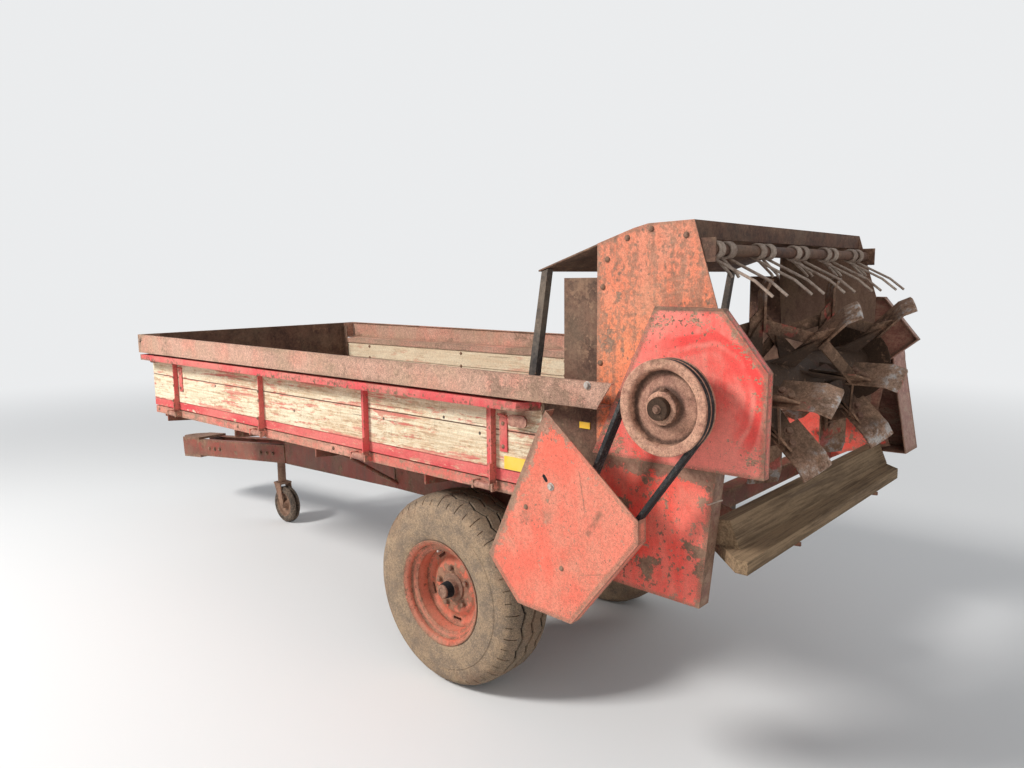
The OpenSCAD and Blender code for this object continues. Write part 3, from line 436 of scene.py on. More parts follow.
def guard_wear(s, body):
    """Bare brown steel at the guard's top corner and front edge, a dent and scratches."""
    along, height = s.place[1] - AXLE, s.place[2]
    broken = s.noise(26.0, 9.0, 0.78, (3, 2, 8))

    def offset(start, across, up):
        """How far a point lies from a start, measured the way that (across, up) points."""
        return (along - start[0]) * across + (height - start[1]) * up

    front = offset(GUARD_CORNER, *GUARD_FRONT_WAY).ramp(0.055, 0.0, 0.0, 0.19)
    level = broken + s.most(front, height.ramp(1.03, 1.19, 0.0, 0.20))
    brown = s.two_tone(broken, 0.4, 0.6, (0.20, 0.110, 0.075), (0.42, 0.245, 0.165))
    body = s.mix(level.ramp(0.60, 0.645, 0.0, 0.9), body, brown)
    for start, end, width in GUARD_MARKS:
        length = (Vector(end) - Vector(start)).length
        way = (Vector(end) - Vector(start)).normalized()
        run = offset(start, way.x, way.y)
        mark = abs(offset(start, -way.y, way.x)).ramp(width, 0.0) * run.ramp(-0.002, 0.012)
        mark = mark * run.ramp(length + 0.002, length - 0.012) * broken.ramp(0.36, 0.50)
        body = s.mix(mark * 0.72, body, (0.20, 0.085, 0.055))
    return body


def pulley_web_and_recess_shade(s, body):
    """Painted shade in the recesses of the dished web, inside the rim's step and round the hub; the web is a
    little darker than the ring.
    """
    broken = s.noise(34.0, 6.0, 0.7, (3, 9, 8))
    reach = s.reach(PULLEY_PLACE.y, PULLEY_PLACE.z) + (broken - 0.5) * 0.012
    outer = reach.ramp(0.083, 0.095) * reach.ramp(0.1025, 0.0990)
    inner = reach.ramp(0.043, 0.047) * reach.ramp(0.064, 0.051)
    web = reach.ramp(0.046, 0.052) * reach.ramp(0.1005, 0.0970)
    body = s.mix(web * 0.25, body, (0.150, 0.080, 0.065))
    # Painted shade: the outer and inner recesses darkened nearly black
    return s.mix(s.most(outer, inner) * 0.80, body, (0.050, 0.028, 0.020))


def hub_soil(s, body):
    """Rusty soil caked round the hub and the nuts, thinning towards the rim."""
    broken = s.noise(30.0, 7.0, 0.72, (3, 5, 8))
    level = broken + s.reach(AXLE, WHEEL_RADIUS).ramp(0.165, 0.055, -0.06, 0.16)
    soil = s.two_tone(broken, 0.4, 0.6, (0.10, 0.050, 0.032), (0.30, 0.165, 0.10))
    return s.mix(level.ramp(0.56, 0.61, 0.0, 0.9), body, soil)


LOWER_PANEL_TOP = 1.050
LOWER_PANEL_REAR = AXLE - 1.20


def lower_panel_wear(s, body):
    """Ragged bare steel along the top and rear edges; the fold that looks back is all brown."""
    broken = s.noise(24.0, 9.0, 0.78)
    bare = s.two_tone(broken, 0.40, 0.62, (0.15, 0.080, 0.055), (0.36, 0.215, 0.145))
    top = s.place[2].ramp(LOWER_PANEL_TOP - 0.055, LOWER_PANEL_TOP, 0.0, 0.20)
    rear = s.place[1].ramp(LOWER_PANEL_REAR + 0.14, LOWER_PANEL_REAR, 0.0, 0.13)
    body = s.mix((broken + s.most(top, rear)).ramp(0.595, 0.615, 0.0, 0.94), body, bare)
    return s.mix(s.facing[1].ramp(-0.5, -0.8) * 0.92, body, bare)


HINGE_EYES_TOP = 0.903
LATCH_REAR, LATCH_FRONT, LATCH_TOP = AXLE - 0.424, AXLE + 2.22, 1.170


def rusty_feet(s, body):
    """Bare rust at the hinge eyes and on the latch handles."""
    _, along, height = s.place
    feet = height.ramp(HINGE_EYES_TOP, HINGE_EYES_TOP - 0.010)
    ends = s.most(along.ramp(LATCH_REAR, LATCH_REAR - 0.002), along.ramp(LATCH_FRONT, LATCH_FRONT + 0.005))
    latches = ends * height.ramp(LATCH_TOP, LATCH_TOP - 0.005)
    bare = s.two_tone(s.noise(40.0, 6.0, 0.7), 0.4, 0.62, (0.20, 0.10, 0.07), (0.46, 0.26, 0.18))
    return s.mix(s.most(feet, latches) * 0.85, body, bare)


PLATE_OUTSIDE = -0.6655


def orange_outside_with_painted_light(s, body):
    """The left plate keeps its orange outside; the right plate and the insides are dusty brown, kept dark as
    painted shade, with a paler band towards the rear edge painted as sunlight.
    """
    across, along, height = s.place
    soil = s.noise(16.0, 8.0, 0.7, (5, 5, 1), (1, 1, 0.4))
    # Dusty brown, kept dark as painted shade
    brown = s.two_tone(soil, 0.38, 0.62, (0.085, 0.050, 0.035), (0.27, 0.170, 0.112))
    # Painted sunlight: a paler band of the brown towards the plates' rear edge
    rear = (along + height * 0.5).ramp(-1.02, -1.12, 0.0, 0.7)
    brown = s.mix(rear, brown, s.mix(soil, (0.24, 0.125, 0.085), (0.52, 0.33, 0.24)))
    warm = s.mix(height.ramp(1.62, 1.35) * 0.62, body, (0.90, 0.255, 0.100))
    return s.mix(across.ramp(PLATE_OUTSIDE, PLATE_OUTSIDE - 0.0013), brown, warm)


def rubbed_tips(s, body):
    """Paler, rubbed steel towards the tips of the paddles, and caked soil towards the drum, painted nearly black
    as shade.
    """
    reach = s.reach(PULLEY_PLACE.y, PULLEY_PLACE.z)
    broken = s.noise(26.0, 7.0, 0.7, (3, 3, 8))
    pale = s.two_tone(broken, 0.50, 0.60, (0.40, 0.26, 0.185), (0.50, 0.45, 0.41))
    body = s.mix(reach.ramp(0.250, 0.325) * broken.ramp(0.36, 0.56), body, pale)
    fields = s.noise(9.0, 2.0, 0.5, (8, 1, 3))
    paint = fields.ramp(0.63, 0.68) * broken.ramp(0.47, 0.53)
    body = s.mix(paint * 0.7, body, (0.50, 0.09, 0.07))
    # Caked soil and painted shade: nearly black near the drum, deep between the paddles
    caked = reach.ramp(0.225, 0.135) * broken.ramp(0.30, 0.44)
    return s.mix(caked * 0.94, body, (0.040, 0.022, 0.013))


# Radii over which the painted shade deepens into the tread grooves
GROOVE_SHADE_REACH = (WHEEL_RADIUS - 0.0045, WHEEL_RADIUS - 0.0075)


def tyre_soil_and_groove_shade(s, body, specks):
    """On a road tyre the tread is darker, its grooves painted nearly black as shade, and the side wall ringed
    and patched.
    """
    reach = s.reach(AXLE, WHEEL_RADIUS)
    tread = s.two_tone(specks, 0.4, 0.6, (0.10, 0.078, 0.060), (0.24, 0.17, 0.11))
    body = s.mix(reach.ramp(0.348, 0.362) * 0.6, body, tread)
    middle = abs(abs(s.place[0]) - WHEEL_X)
    # Painted shade: the tread grooves darkened nearly black
    grooves = reach.ramp(*GROOVE_SHADE_REACH) * middle.ramp(0.070, 0.064)
    body = s.mix(grooves, body, (0.035, 0.028, 0.022))
    lines = s.noise(120.0, 2.0, 0.5, vector=s.join(reach, 0.0, 0.0))
    body = s.mix(lines.ramp(0.52, 0.62) * 0.22, body, (0.14, 0.11, 0.085))
    patch = s.noise(5.0, 7.0, 0.7, (1, 8, 3)).ramp(0.52, 0.62) * reach.ramp(0.29, 0.36, 0.15, 0.6)
    return s.mix(patch, body, (0.22, 0.135, 0.085))


def rubber(name, dark, light, dust, scale=8.0, extra=None):
    """Rubber, scuffed and dusty."""
    material, s, surface = new_material(name)
    specks = s.noise(scale * 14.0, 4.0, 0.7, (4, 4, 4))
    tone = s.noise(scale, 8.0, 0.68, distort=0.3) * 0.5 + specks * 0.5
    low = 0.52 - 0.2 * dust
    body = s.two_tone(tone, low, low + 0.20, dark, light)
    if extra:
        body = extra(s, body, specks)
    surface.inputs["Specular IOR Level"].default_value = 0.25
    set_surface(s, surface, gritty(s, body, 0.30), 0.88, tone, 0.0012)
    return material


def plastic(name, main, pale):
    """Faded reflector plastic with a fine facet pattern."""
    material, s, surface = new_material(name)
    cells = s.node("ShaderNodeTexVoronoi", Vector=s.point, Scale=260.0)
    body = s.two_tone(s.noise(16.0, 5.0, 0.6), 0.35, 0.7, main, pale)
    set_surface(s, surface, body, 0.32, cells.outputs["Distance"], 0.0006)
    return material


FINISHES = {}


def make_finishes(settings):
    GROUPS["Paint Chips"] = chips_group()
    GROUPS["Soil Film"] = film_group()
    GROUPS["Fine Grit"] = grit_group()
    f = FINISHES
    f["red"] = painted_steel(
        "worn red paint", (0.66, 0.08, 0.085), (0.64, 0.17, 0.14),
        patches=0.18, chips=0.3, film=0.3, extra=rusty_feet,
    )
    f["panel"] = painted_steel(
        "bright red panel paint", settings.panel_colour, (0.88, 0.235, 0.180), patches=0.26, chips=0.42,
        edge=1.2, fade=0.6, film=0.14, gloss=0.5, fineness=80.0, pale=0.35, extra=panel_wear,
    )
    f["lower_panel"] = painted_steel(
        "lower panel paint", (0.88, 0.085, 0.060), (0.88, 0.18, 0.130), patches=0.46, chips=0.50,
        edge=1.2, film=0.3, gloss=0.5, fineness=70.0, pale=0.35, extra=lower_panel_wear,
    )
    f["sill"] = painted_steel(
        "dull red sill paint", (0.64, 0.13, 0.10), (0.62, 0.28, 0.20),
        patches=0.38, chips=0.58, film=0.5, fineness=80.0, pale=0.8,
    )
    f["rim"] = painted_steel(
        "rim sheet paint", settings.rim_colour, (0.53, 0.31, 0.225), patches=0.42, chips=0.58,
        edge=0.3, fade=0.6, film=0.6, grit=0.42, gloss=0.2, fineness=270.0, pale=1.0,
    )
    # The orange plates' extra paints shade and a sunlit band on their brown insides
    f["orange"] = painted_steel(
        "orange housing paint", (0.70, 0.200, 0.105), (0.66, 0.235, 0.140), patches=0.28, chips=0.38,
        runs=0.66, edge=0.6, film=0.36, grit=0.28, fineness=70.0, pale=0.62, extra=orange_outside_with_painted_light,
    )
    f["guard"] = painted_steel(
        "faded guard paint", (0.80, 0.155, 0.098), (0.78, 0.215, 0.140), patches=0.27, chips=0.46,
        edge=1.3, film=0.36, grit=0.26, fineness=130.0, pale=0.5, extra=guard_wear,
    )
    f["frame"] = painted_steel(
        "dark frame paint", (0.27, 0.055, 0.036), (0.18, 0.062, 0.042),
        patches=0.4, chips=0.5, film=0.25, low=0.35, dust=0.2,
    )
    f["wheel"] = painted_steel(
        "orange wheel paint", settings.wheel_colour, (0.60, 0.19, 0.12), patches=0.28, chips=0.44,
        edge=0.9, film=0.4, low=0.25, fineness=80.0, extra=hub_soil,
    )
    f["brown"] = bare_steel("brown sheet", (0.055, 0.028, 0.020), (0.165, 0.085, 0.058), film=0.25)
    f["iron"] = bare_steel("rusty iron", (0.12, 0.06, 0.042), (0.32, 0.18, 0.125), film=0.4)
    f["dark_iron"] = bare_steel(
        "dark iron", (0.035, 0.03, 0.027), (0.13, 0.105, 0.085), rust=0.22, film=0.25, shine=0.3
    )
    f["tine"] = bare_steel(
        "tine wire", (0.22, 0.15, 0.115), (0.46, 0.37, 0.30), rust=0.2, film=0.2, shine=0.35
    )
    f["soiled"] = bare_steel(
        "soiled rotor steel", (0.085, 0.045, 0.028), (0.36, 0.205, 0.130),
        rust=0.25, film=0.22, low=0.1, grit=0.35, depth=0.003, extra=rubbed_tips,
    )
    # The pulley's extra paints shade into the recesses of its web
    f["pulley"] = bare_steel(
        "rusty pulley", (0.29, 0.130, 0.090), (0.58, 0.32, 0.215),
        rust=0.34, film=0.25, low=0.0, grit=0.38, extra=pulley_web_and_recess_shade,
    )
    f["plated"] = bare_steel(
        "dull plated bolts", (0.30, 0.25, 0.21), (0.55, 0.50, 0.45), rust=0.25, film=0.2, shine=0.45
    )
    f["plank"] = timber(
        "cream plank", settings.plank_colour, (0.60, 0.45, 0.29), knots=0.35, grit=0.2, extra=plank_paint
    )
    f["floor"] = timber("floor board", (0.24, 0.16, 0.10), (0.09, 0.06, 0.04), knots=0.3, film=0.4)
    f["beam"] = timber(
        "grey timber beam", (0.30, 0.20, 0.115), (0.115, 0.073, 0.042), along="X", knots=0.3
    )
    # The tyre's extra paints shade into the tread grooves
    f["tyre"] = rubber(
        "dusty tyre rubber", (0.19, 0.142, 0.104), settings.tyre_dust, dust=0.62, scale=15.0, extra=tyre_soil_and_groove_shade
    )
    f["small_tyre"] = rubber("dark tyre rubber", (0.045, 0.036, 0.030), (0.21, 0.150, 0.105), dust=0.5)
    f["belt"] = rubber("belt rubber", (0.025, 0.025, 0.025), (0.12, 0.11, 0.10), dust=0.2)
    f["boot"] = rubber("black hub cap", (0.012, 0.012, 0.013), (0.08, 0.065, 0.055), dust=0.1)
    f["yellow"] = plastic("yellow reflector", (0.90, 0.53, 0.02), (0.86, 0.58, 0.09))


FINISH_NODES = {
    "frame": "stringers cross_members drawbar_beams drawbar_nose axle rear_beam",
    "sill": "side_sills",
    "iron": "hitch_plates shaft_bearings jockey_sleeve drive_shaft jockey_leg jockey_fork",
    "floor": "floor_boards",
    "dark_iron": "conveyor conveyor_shafts hood_stays gearbox pto_shaft",
    "brown": "front_wall extension_plates housing_roof tine_bar",
    "rim": "rims",
    "orange": "housing_plates",
    "panel": "bearing_panels right_guard",
    "lower_panel": "lower_panels",
    "tine": "spring_tines",
    "beam": "rear_boards",
    "guard": "belt_guard",
    "belt": "belts",
    "yellow": "reflectors side_reflector_left side_reflector_right",
    "plank": "side_boards_left side_boards_right",
    "red": "side_steel_left side_steel_right",
    "soiled": "rotor_drum rotor_paddles",
    "pulley": "rotor_pulley",
    "tyre": "tyre_left tyre_right",
    "wheel": "wheel_left wheel_right",
    "small_tyre": "jockey_wheel",
}


# Modelling helpers

# Outside the whole machine: lines that look for the surface of a side start here
BESIDE = 1.2
WASHER_THICK, WASHER_UP, HEAD_UP = 0.0024, 0.0004, 0.0012
DOME_SUNK = 0.0008


def begin(name):
    """The primitive that was just added, with its name."""
    piece = bpy.context.object
    piece.name = piece.data.name = name
    return piece


def deselect():
    bpy.ops.object.select_all(action="DESELECT")


def open_for_edit(piece, kind="FACE"):
    deselect()
    piece.select_set(True)
    bpy.context.view_layer.objects.active = piece
    bpy.ops.object.mode_set(mode="EDIT")
    bpy.ops.mesh.select_mode(type=kind)
    bpy.ops.mesh.select_all(action="DESELECT")


def pick_faces(piece, test):
    """Selects the faces that pass a test while a piece is open for editing."""
    bpy.ops.object.mode_set(mode="OBJECT")
    for face in piece.data.polygons:
        face.select = bool(test(face))
    bpy.ops.object.mode_set(mode="EDIT")


def close_edit():
    bpy.ops.object.mode_set(mode="OBJECT")


def lathe(name, profile, steps, side=1.0, centre=(0.0, 0.0, 0.0)):
    """Closed profile of (x, radius) points, spun about the x axis and put at a centre."""
    deselect()
    bpy.ops.mesh.primitive_circle_add(vertices=len(profile), fill_type="NOTHING")
    piece = begin(name)
    for vert, (x, radius) in zip(piece.data.vertices, profile):
        vert.co = (side * x, 0.0, radius)
    open_for_edit(piece, "VERT")
    bpy.ops.mesh.select_all(action="SELECT")
    bpy.ops.mesh.spin(steps=steps, angle=math.tau, center=(0.0, 0.0, 0.0), axis=(1.0, 0.0, 0.0))
    bpy.ops.mesh.select_all(action="SELECT")
    bpy.ops.mesh.remove_doubles(threshold=0.00002)
    bpy.ops.mesh.normals_make_consistent(inside=False)
    close_edit()
    piece.location = centre
    settle(piece)
    return piece


def settle(piece):
    """Applies an object's place, turn and scale to its mesh."""
    deselect()
    piece.select_set(True)
    bpy.context.view_layer.objects.active = piece
    bpy.ops.object.transform_apply(location=True, rotation=True, scale=True)


def block(name, middle, size):
    deselect()
    bpy.ops.mesh.primitive_cube_add(size=1.0, location=middle)
    piece = begin(name)
    piece.scale = size
    settle(piece)
    return piece


def bevel(piece, width, segments=2):
    """Rounds the edges where faces meet at more than 40 degrees."""
    made = piece.modifiers.new("Bevel", "BEVEL")
    made.width = width
    made.segments = segments
    made.limit_method = "ANGLE"
    made.angle_limit = math.radians(40.0)
    bpy.context.view_layer.objects.active = piece
    bpy.ops.object.modifier_apply(modifier=made.name)


def join(name, pieces):
    deselect()
    for piece in pieces:
        piece.select_set(True)
    bpy.context.view_layer.objects.active = pieces[0]
    if len(pieces) > 1:
        bpy.ops.object.join()
    joined = bpy.context.view_layer.objects.active
    joined.name = joined.data.name = name
    return joined


def finish(piece, body, finish_name, angle=35.0):
    """Smooths a piece, gives it its finish and lets it ride on a body."""
    settle(piece)
    bpy.ops.object.shade_smooth_by_angle(angle=math.radians(angle))
    piece.data.materials.clear()
    piece.data.materials.append(FINISHES[finish_name])
    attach(piece, body)
    return piece


def surface_at(node, start, way):
    """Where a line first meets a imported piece, and the way the surface faces there."""
    hit, place, normal, _ = NODES[node].ray_cast(start, Vector(way).normalized())
    if not hit:
        raise ValueError(f"nothing of {node} lies along the line from {tuple(start)}")
    return place, normal


def seats_from(side, node, places, beside=BESIDE):
    """Seats for points (y, z) seen from the left (-1) or the right (1)."""
    return [surface_at(node, at(side * beside, y, z), (-side, 0, 0)) for y, z in places]


def seats_on_both(node, places):
    return [seat for _, side in SIDES for seat in seats_from(side, node, places)]


def hex_bolt(radius, height, washer):
    """Hexagon head on a washer, pointing up, with its seat at the origin."""
    deselect()
    middle = (0, 0, height / 2 + HEAD_UP)
    bpy.ops.mesh.primitive_cylinder_add(vertices=6, radius=radius, depth=height, location=middle)
    head = begin("bolt_head")
    bevel(head, radius * 0.16, 1)
    settle(head)
    middle = (0, 0, WASHER_UP)
    bpy.ops.mesh.primitive_cylinder_add(vertices=12, radius=washer, depth=WASHER_THICK, location=middle)
    ring = begin("bolt_washer")
    settle(ring)
    return join("bolt", [head, ring])


def round_bolt(radius, height):
    """Low domed head, pointing up."""
    deselect()
    bpy.ops.mesh.primitive_uv_sphere_add(segments=12, ring_count=6, radius=radius)
    head = begin("dome")
    head.scale = (1.0, 1.0, height / radius)
    settle(head)
    open_for_edit(head, "VERT")
    bpy.ops.mesh.select_all(action="SELECT")
    bpy.ops.mesh.bisect(plane_co=(0, 0, -DOME_SUNK), plane_no=(0, 0, 1), clear_inner=True, use_fill=True)
    close_edit()
    return head


def stamp(name, template, seats, body, finish_name, seed):
    """Copies of a small piece, each on its own seat, joined to one piece."""
    chance = random.Random(seed)
    copies = []
    for place, normal in seats:
        copy = template.copy()
        copy.data = template.data.copy()
        bpy.context.collection.objects.link(copy)
        turn = normal.to_track_quat("Z", "X").to_matrix().to_4x4()
        spin = Matrix.Rotation(chance.uniform(0.0, math.pi), 4, "Z")
        copy.data.transform(Matrix.Translation(place) @ turn @ spin)
        copies.append(copy)
    bpy.data.objects.remove(template)
    return finish(join(name, copies), body, finish_name)


class SPREADER_OT_finishes(bpy.types.Operator):
    """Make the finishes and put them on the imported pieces"""

    bl_idname = "spreader.finishes"
    bl_label = "Finishes"

    def execute(self, context):
        make_finishes(context.scene.spreader)
        finish_of = {node: name for name, nodes in FINISH_NODES.items() for node in nodes.split()}
        for name, node in NODES.items():
            node.data.materials.clear()
            node.data.materials.append(FINISHES[finish_of[name]])
        return {"FINISHED"}


# Profiles are lists of (x, radius), with x counted outwards from the wheel's middle


def both_ways(half):
    """A profile from one half of it, mirrored about x = 0."""
    return half + [(-x, radius) for x, radius in reversed(half)]


# Road tyres

TREAD_PITCHES = 48
TYRE_SIDE = [
    (0.1040, 0.1953), (0.1120, 0.2000), (0.1200, 0.2065), (0.1240, 0.2140), (0.1275, 0.2250), (0.1312, 0.2480),
    (0.1316, 0.2740), (0.1302, 0.2960), (0.1272, 0.3000), (0.1262, 0.3180), (0.1222, 0.3340), (0.1168, 0.3445),
    (0.1150, 0.3475), (0.1105, 0.3535), (0.1000, 0.3640), (0.0900, 0.3705), (0.0780, 0.3755), (0.0625, 0.3783),
    (0.0605, 0.3690), (0.0515, 0.3690), (0.0495, 0.3790), (0.0065, 0.3800), (0.0045, 0.3705),
]
TYRE_INSIDE = [
    (-0.1020, 0.2080), (-0.1180, 0.2500), (-0.1160, 0.3000), (-0.0960, 0.3460), (0.0, 0.3560),
    (0.0960, 0.3460), (0.1160, 0.3000), (0.1180, 0.2500), (0.1020, 0.2080),
]
CUT_STEPS = [(0.0, 0.0), (0.25, 0.085), (0.5, 0.40), (0.75, 0.70), (1.0, 1.0)]
CUT_STARTS = (0.078, 0.100)
CUT_END, CUT_LOW, CUT_INSET, CUT_DEPTH = 0.1168, 0.345, 0.0003, 0.006
# The grooves' zigzag: lowest radius, swing, and the x where it ends and over which it fades
WAVE_LOW, WAVE_WIDTH, WAVE_EDGE, WAVE_EASE = 0.362, 0.0105, 0.080, 0.017


def crowded(part):
    """Crowds two of the four columns of a pitch together, so that a cut between them is narrow."""
    for (low, to_low), (high, to_high) in zip(CUT_STEPS, CUT_STEPS[1:]):
        if part <= high:
            return to_low + (part - low) / (high - low) * (to_high - to_low)
    return part


def road_tyre(name, side):
    """Tyre with zigzag grooves, a ribbed shoulder with long and short cuts, and a moulded side wall."""
    profile = both_ways(TYRE_SIDE) + TYRE_INSIDE
    tyre = lathe(name, profile, TREAD_PITCHES * 4)
    pitch = math.tau / TREAD_PITCHES

    def in_cut(face):
        x, y, z = face.center
        place = (math.atan2(y, z) % math.tau) / pitch
        start = CUT_STARTS[int(place) % 2]
        return place % 1.0 < 0.25 and start < abs(x) < CUT_END and math.hypot(y, z) > CUT_LOW

    open_for_edit(tyre)
    pick_faces(tyre, in_cut)
    bpy.ops.mesh.inset(thickness=CUT_INSET, depth=-CUT_DEPTH)
    close_edit()
    for vert in tyre.data.vertices:
        x, y, z = vert.co
        reach = math.hypot(y, z)
        place = (math.atan2(y, z) % math.tau) / pitch
        turn = (math.floor(place) + crowded(place % 1.0)) * pitch
        sway = 0.0
        if reach > WAVE_LOW:
            wave = abs((place / 2.0) % 1.0 * 2.0 - 1.0) * 2.0 - 1.0
            sway = WAVE_WIDTH * wave * min(1.0, max(0.0, (WAVE_EDGE - abs(x)) / WAVE_EASE))
        vert.co = (x + sway, reach * math.sin(turn), reach * math.cos(turn))
    tyre.location = wheel_place(side)
    return tyre


def wheel_place(side):
    low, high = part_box("tyre_left" if side < 0 else "tyre_right")
    return (low + high) / 2


class SPREADER_OT_road_tyres(bpy.types.Operator):
    """Spin the two road tyres with their tread"""

    bl_idname = "spreader.road_tyres"
    bl_label = "Road tyres"

    def execute(self, context):
        for word, side in SIDES:
            tyre = road_tyre("road_tyre_" + word, side)
            finish(tyre, "road_wheel_" + word, "tyre", 28.0)
            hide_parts("tyre_" + word)
        return {"FINISHED"}


# Road wheels

RIM_TYRE_SIDE = [
    (0.1245, 0.2080), (0.1195, 0.2035), (0.1165, 0.1975), (0.1120, 0.1950), (0.0980, 0.1945), (0.0940, 0.1880),
    (0.0860, 0.1680), (0.0800, 0.1655), (-0.0280, 0.1655), (-0.0340, 0.1700), (-0.0540, 0.1900),
    (-0.0600, 0.1945), (-0.1120, 0.1950), (-0.1165, 0.1975), (-0.1195, 0.2035), (-0.1245, 0.2080),
]
RIM_HUB_SIDE = [
    (-0.1258, 0.2045), (-0.1215, 0.1965), (-0.1165, 0.1905), (-0.1120, 0.1885), (-0.0620, 0.1885),
    (-0.0580, 0.1840), (-0.0360, 0.1630), (-0.0300, 0.1600), (0.0800, 0.1600), (0.0880, 0.1625),
    (0.0955, 0.1830), (0.0995, 0.1885), (0.1120, 0.1885), (0.1165, 0.1905), (0.1215, 0.1965), (0.1258, 0.2045),
]
DISC = [
    (0.0340, 0.1604), (0.0300, 0.1520), (0.0260, 0.1400), (0.0260, 0.1240), (0.0290, 0.1180), (0.0400, 0.1040),
    (0.0425, 0.0980), (0.0425, 0.0500), (0.0365, 0.0500), (0.0365, 0.0960), (0.0340, 0.1010), (0.0230, 0.1150),
    (0.0200, 0.1230), (0.0200, 0.1410), (0.0240, 0.1540), (0.0280, 0.1604),
]
HUB = [
    (0.0300, 0.0), (0.0300, 0.0560), (0.0480, 0.0560), (0.0505, 0.0535), (0.0510, 0.0400), (0.0540, 0.0375),
    (0.0680, 0.0360), (0.0700, 0.0340), (0.0700, 0.0),
]
HUB_CAP = [
    (0.0680, 0.0), (0.0680, 0.0310), (0.0700, 0.0325), (0.0730, 0.0325), (0.0745, 0.0285), (0.0765, 0.0285),
    (0.0780, 0.0318), (0.0810, 0.0318), (0.0825, 0.0280), (0.0845, 0.0280), (0.0860, 0.0310), (0.0890, 0.0310),
    (0.0905, 0.0275), (0.0925, 0.0275), (0.0940, 0.0300), (0.1000, 0.0290), (0.1000, 0.0),
]
HUB_END = [
    (0.0980, 0.0), (0.0980, 0.0268), (0.1050, 0.0262), (0.1075, 0.0235), (0.1075, 0.0160), (0.1050, 0.0140),
    (0.1050, 0.0),
]
HUB_PARTS = (("wheel_hub_", HUB, "iron"), ("hub_cap_", HUB_CAP, "boot"), ("hub_end_", HUB_END, "iron"))
VALVE = [
    (0.0, 0.0), (0.0, 0.0045), (0.024, 0.0040), (0.026, 0.0052), (0.036, 0.0052), (0.038, 0.0035), (0.038, 0.0),
]
WHEEL_NUTS = 5
NUT_SEAT = (0.0425, 0.078)
SLOT_SIZE, SLOT_PLACE = (0.05, 0.046, 0.012), (0.024, 0.136)
VALVE_PLACE = (0.056, 0.035, 0.152)


def disc_slots(disc, side):
    """Five hand slots through the disc, near its edge."""
    cutters = []
    out = Matrix.Translation((side * SLOT_PLACE[0], 0.0, SLOT_PLACE[1]))
    for i in range(WHEEL_NUTS):
        slot = block("slot", (0.0, 0.0, 0.0), SLOT_SIZE)
        bevel(slot, 0.005, 3)
        slot.data.transform(Matrix.Rotation((i + 0.5) / WHEEL_NUTS * math.tau, 4, "X") @ out)
        cutters.append(slot)
    cutter = join("slots", cutters)
    cut = disc.modifiers.new("Slots", "BOOLEAN")
    cut.object = cutter
    cut.solver = "EXACT"
    deselect()
    bpy.context.view_layer.objects.active = disc
    bpy.ops.object.modifier_apply(modifier=cut.name)
    bpy.data.objects.remove(cutter)


class SPREADER_OT_road_wheels(bpy.types.Operator):
    """Spin the two steel wheels with their discs, hubs, caps, nuts and valves"""

    bl_idname = "spreader.road_wheels"
    bl_label = "Road wheels"

    def execute(self, context):
        for word, side in SIDES:
            body = "road_wheel_" + word
            centre = wheel_place(side)
            disc = lathe("disc", DISC, 80, side)
            disc_slots(disc, side)
            disc.location = centre
            settle(disc)
            rim = lathe("rim", RIM_TYRE_SIDE + RIM_HUB_SIDE, 96, side, centre)
            wheel = finish(join("wheel_rim_" + word, [rim, disc]), body, "wheel", 30.0)
            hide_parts("wheel_" + word)
            for name, profile, finish_name in HUB_PARTS:
                finish(lathe(name + word, profile, 48, side, centre), body, finish_name)
            x, y, z = VALVE_PLACE
            valve = lathe("wheel_valve_" + word, VALVE, 12, side, centre + Vector((side * x, y, z)))
            finish(valve, body, "plated")
            seats = []
            x, reach = NUT_SEAT
            for i in range(WHEEL_NUTS):
                turn = (i + 0.1) / WHEEL_NUTS * math.tau
                place = Vector((side * x, reach * math.sin(turn), reach * math.cos(turn)))
                seats.append((centre + place, Vector((side, 0.0, 0.0))))
            stamp("wheel_nuts_" + word, hex_bolt(0.0105, 0.013, 0.0135), seats, body, "iron", 3)
        return {"FINISHED"}


# Rotor pulley

PULLEY = [
    (0.0270, 0.1292), (0.0252, 0.1310), (0.0197, 0.1310), (0.0165, 0.1185), (0.0045, 0.1185), (0.0013, 0.1310),
    (-0.0013, 0.1310), (-0.0045, 0.1185), (-0.0165, 0.1185), (-0.0197, 0.1310), (-0.0252, 0.1310),
    (-0.0270, 0.1292), (-0.0270, 0.1050), (-0.0200, 0.1010), (-0.0100, 0.1000), (-0.0080, 0.0960),
    (-0.0060, 0.0550), (-0.0120, 0.0480), (-0.0350, 0.0460), (-0.0350, 0.0302), (0.0310, 0.0302),
    (0.0330, 0.0330), (0.0330, 0.0420), (0.0300, 0.0455), (0.0110, 0.0480), (0.0080, 0.0520), (0.0060, 0.0620),
    (0.0010, 0.0820), (-0.0010, 0.0940), (0.0000, 0.0985), (0.0060, 0.1005), (0.0190, 0.1020),
    (0.0235, 0.1035), (0.0262, 0.1065), (0.0280, 0.1110),
]
HUB_SCREW = Vector((-0.020, 0.0, 0.0462))


class SPREADER_OT_pulley(bpy.types.Operator):
    """Spin the grooved rotor pulley with its dished web and the screw in its hub"""

    bl_idname = "spreader.pulley"
    bl_label = "Rotor pulley"

    def execute(self, context):
        pulley = finish(lathe("grooved_pulley", PULLEY, 96, -1.0, PULLEY_PLACE), "rotor", "pulley")
        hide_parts("rotor_pulley")
        end, way = surface_at("rotor_drum", PULLEY_PLACE + Vector((-0.3, 0.0, 0.0)), (1, 0, 0))
        seats = [(end, way), (PULLEY_PLACE + HUB_SCREW, Vector((0, 0, 1)))]
        stamp("pulley_screws", hex_bolt(0.009, 0.007, 0.0125), seats, "rotor", "iron", 5)
        return {"FINISHED"}


# Jockey wheel

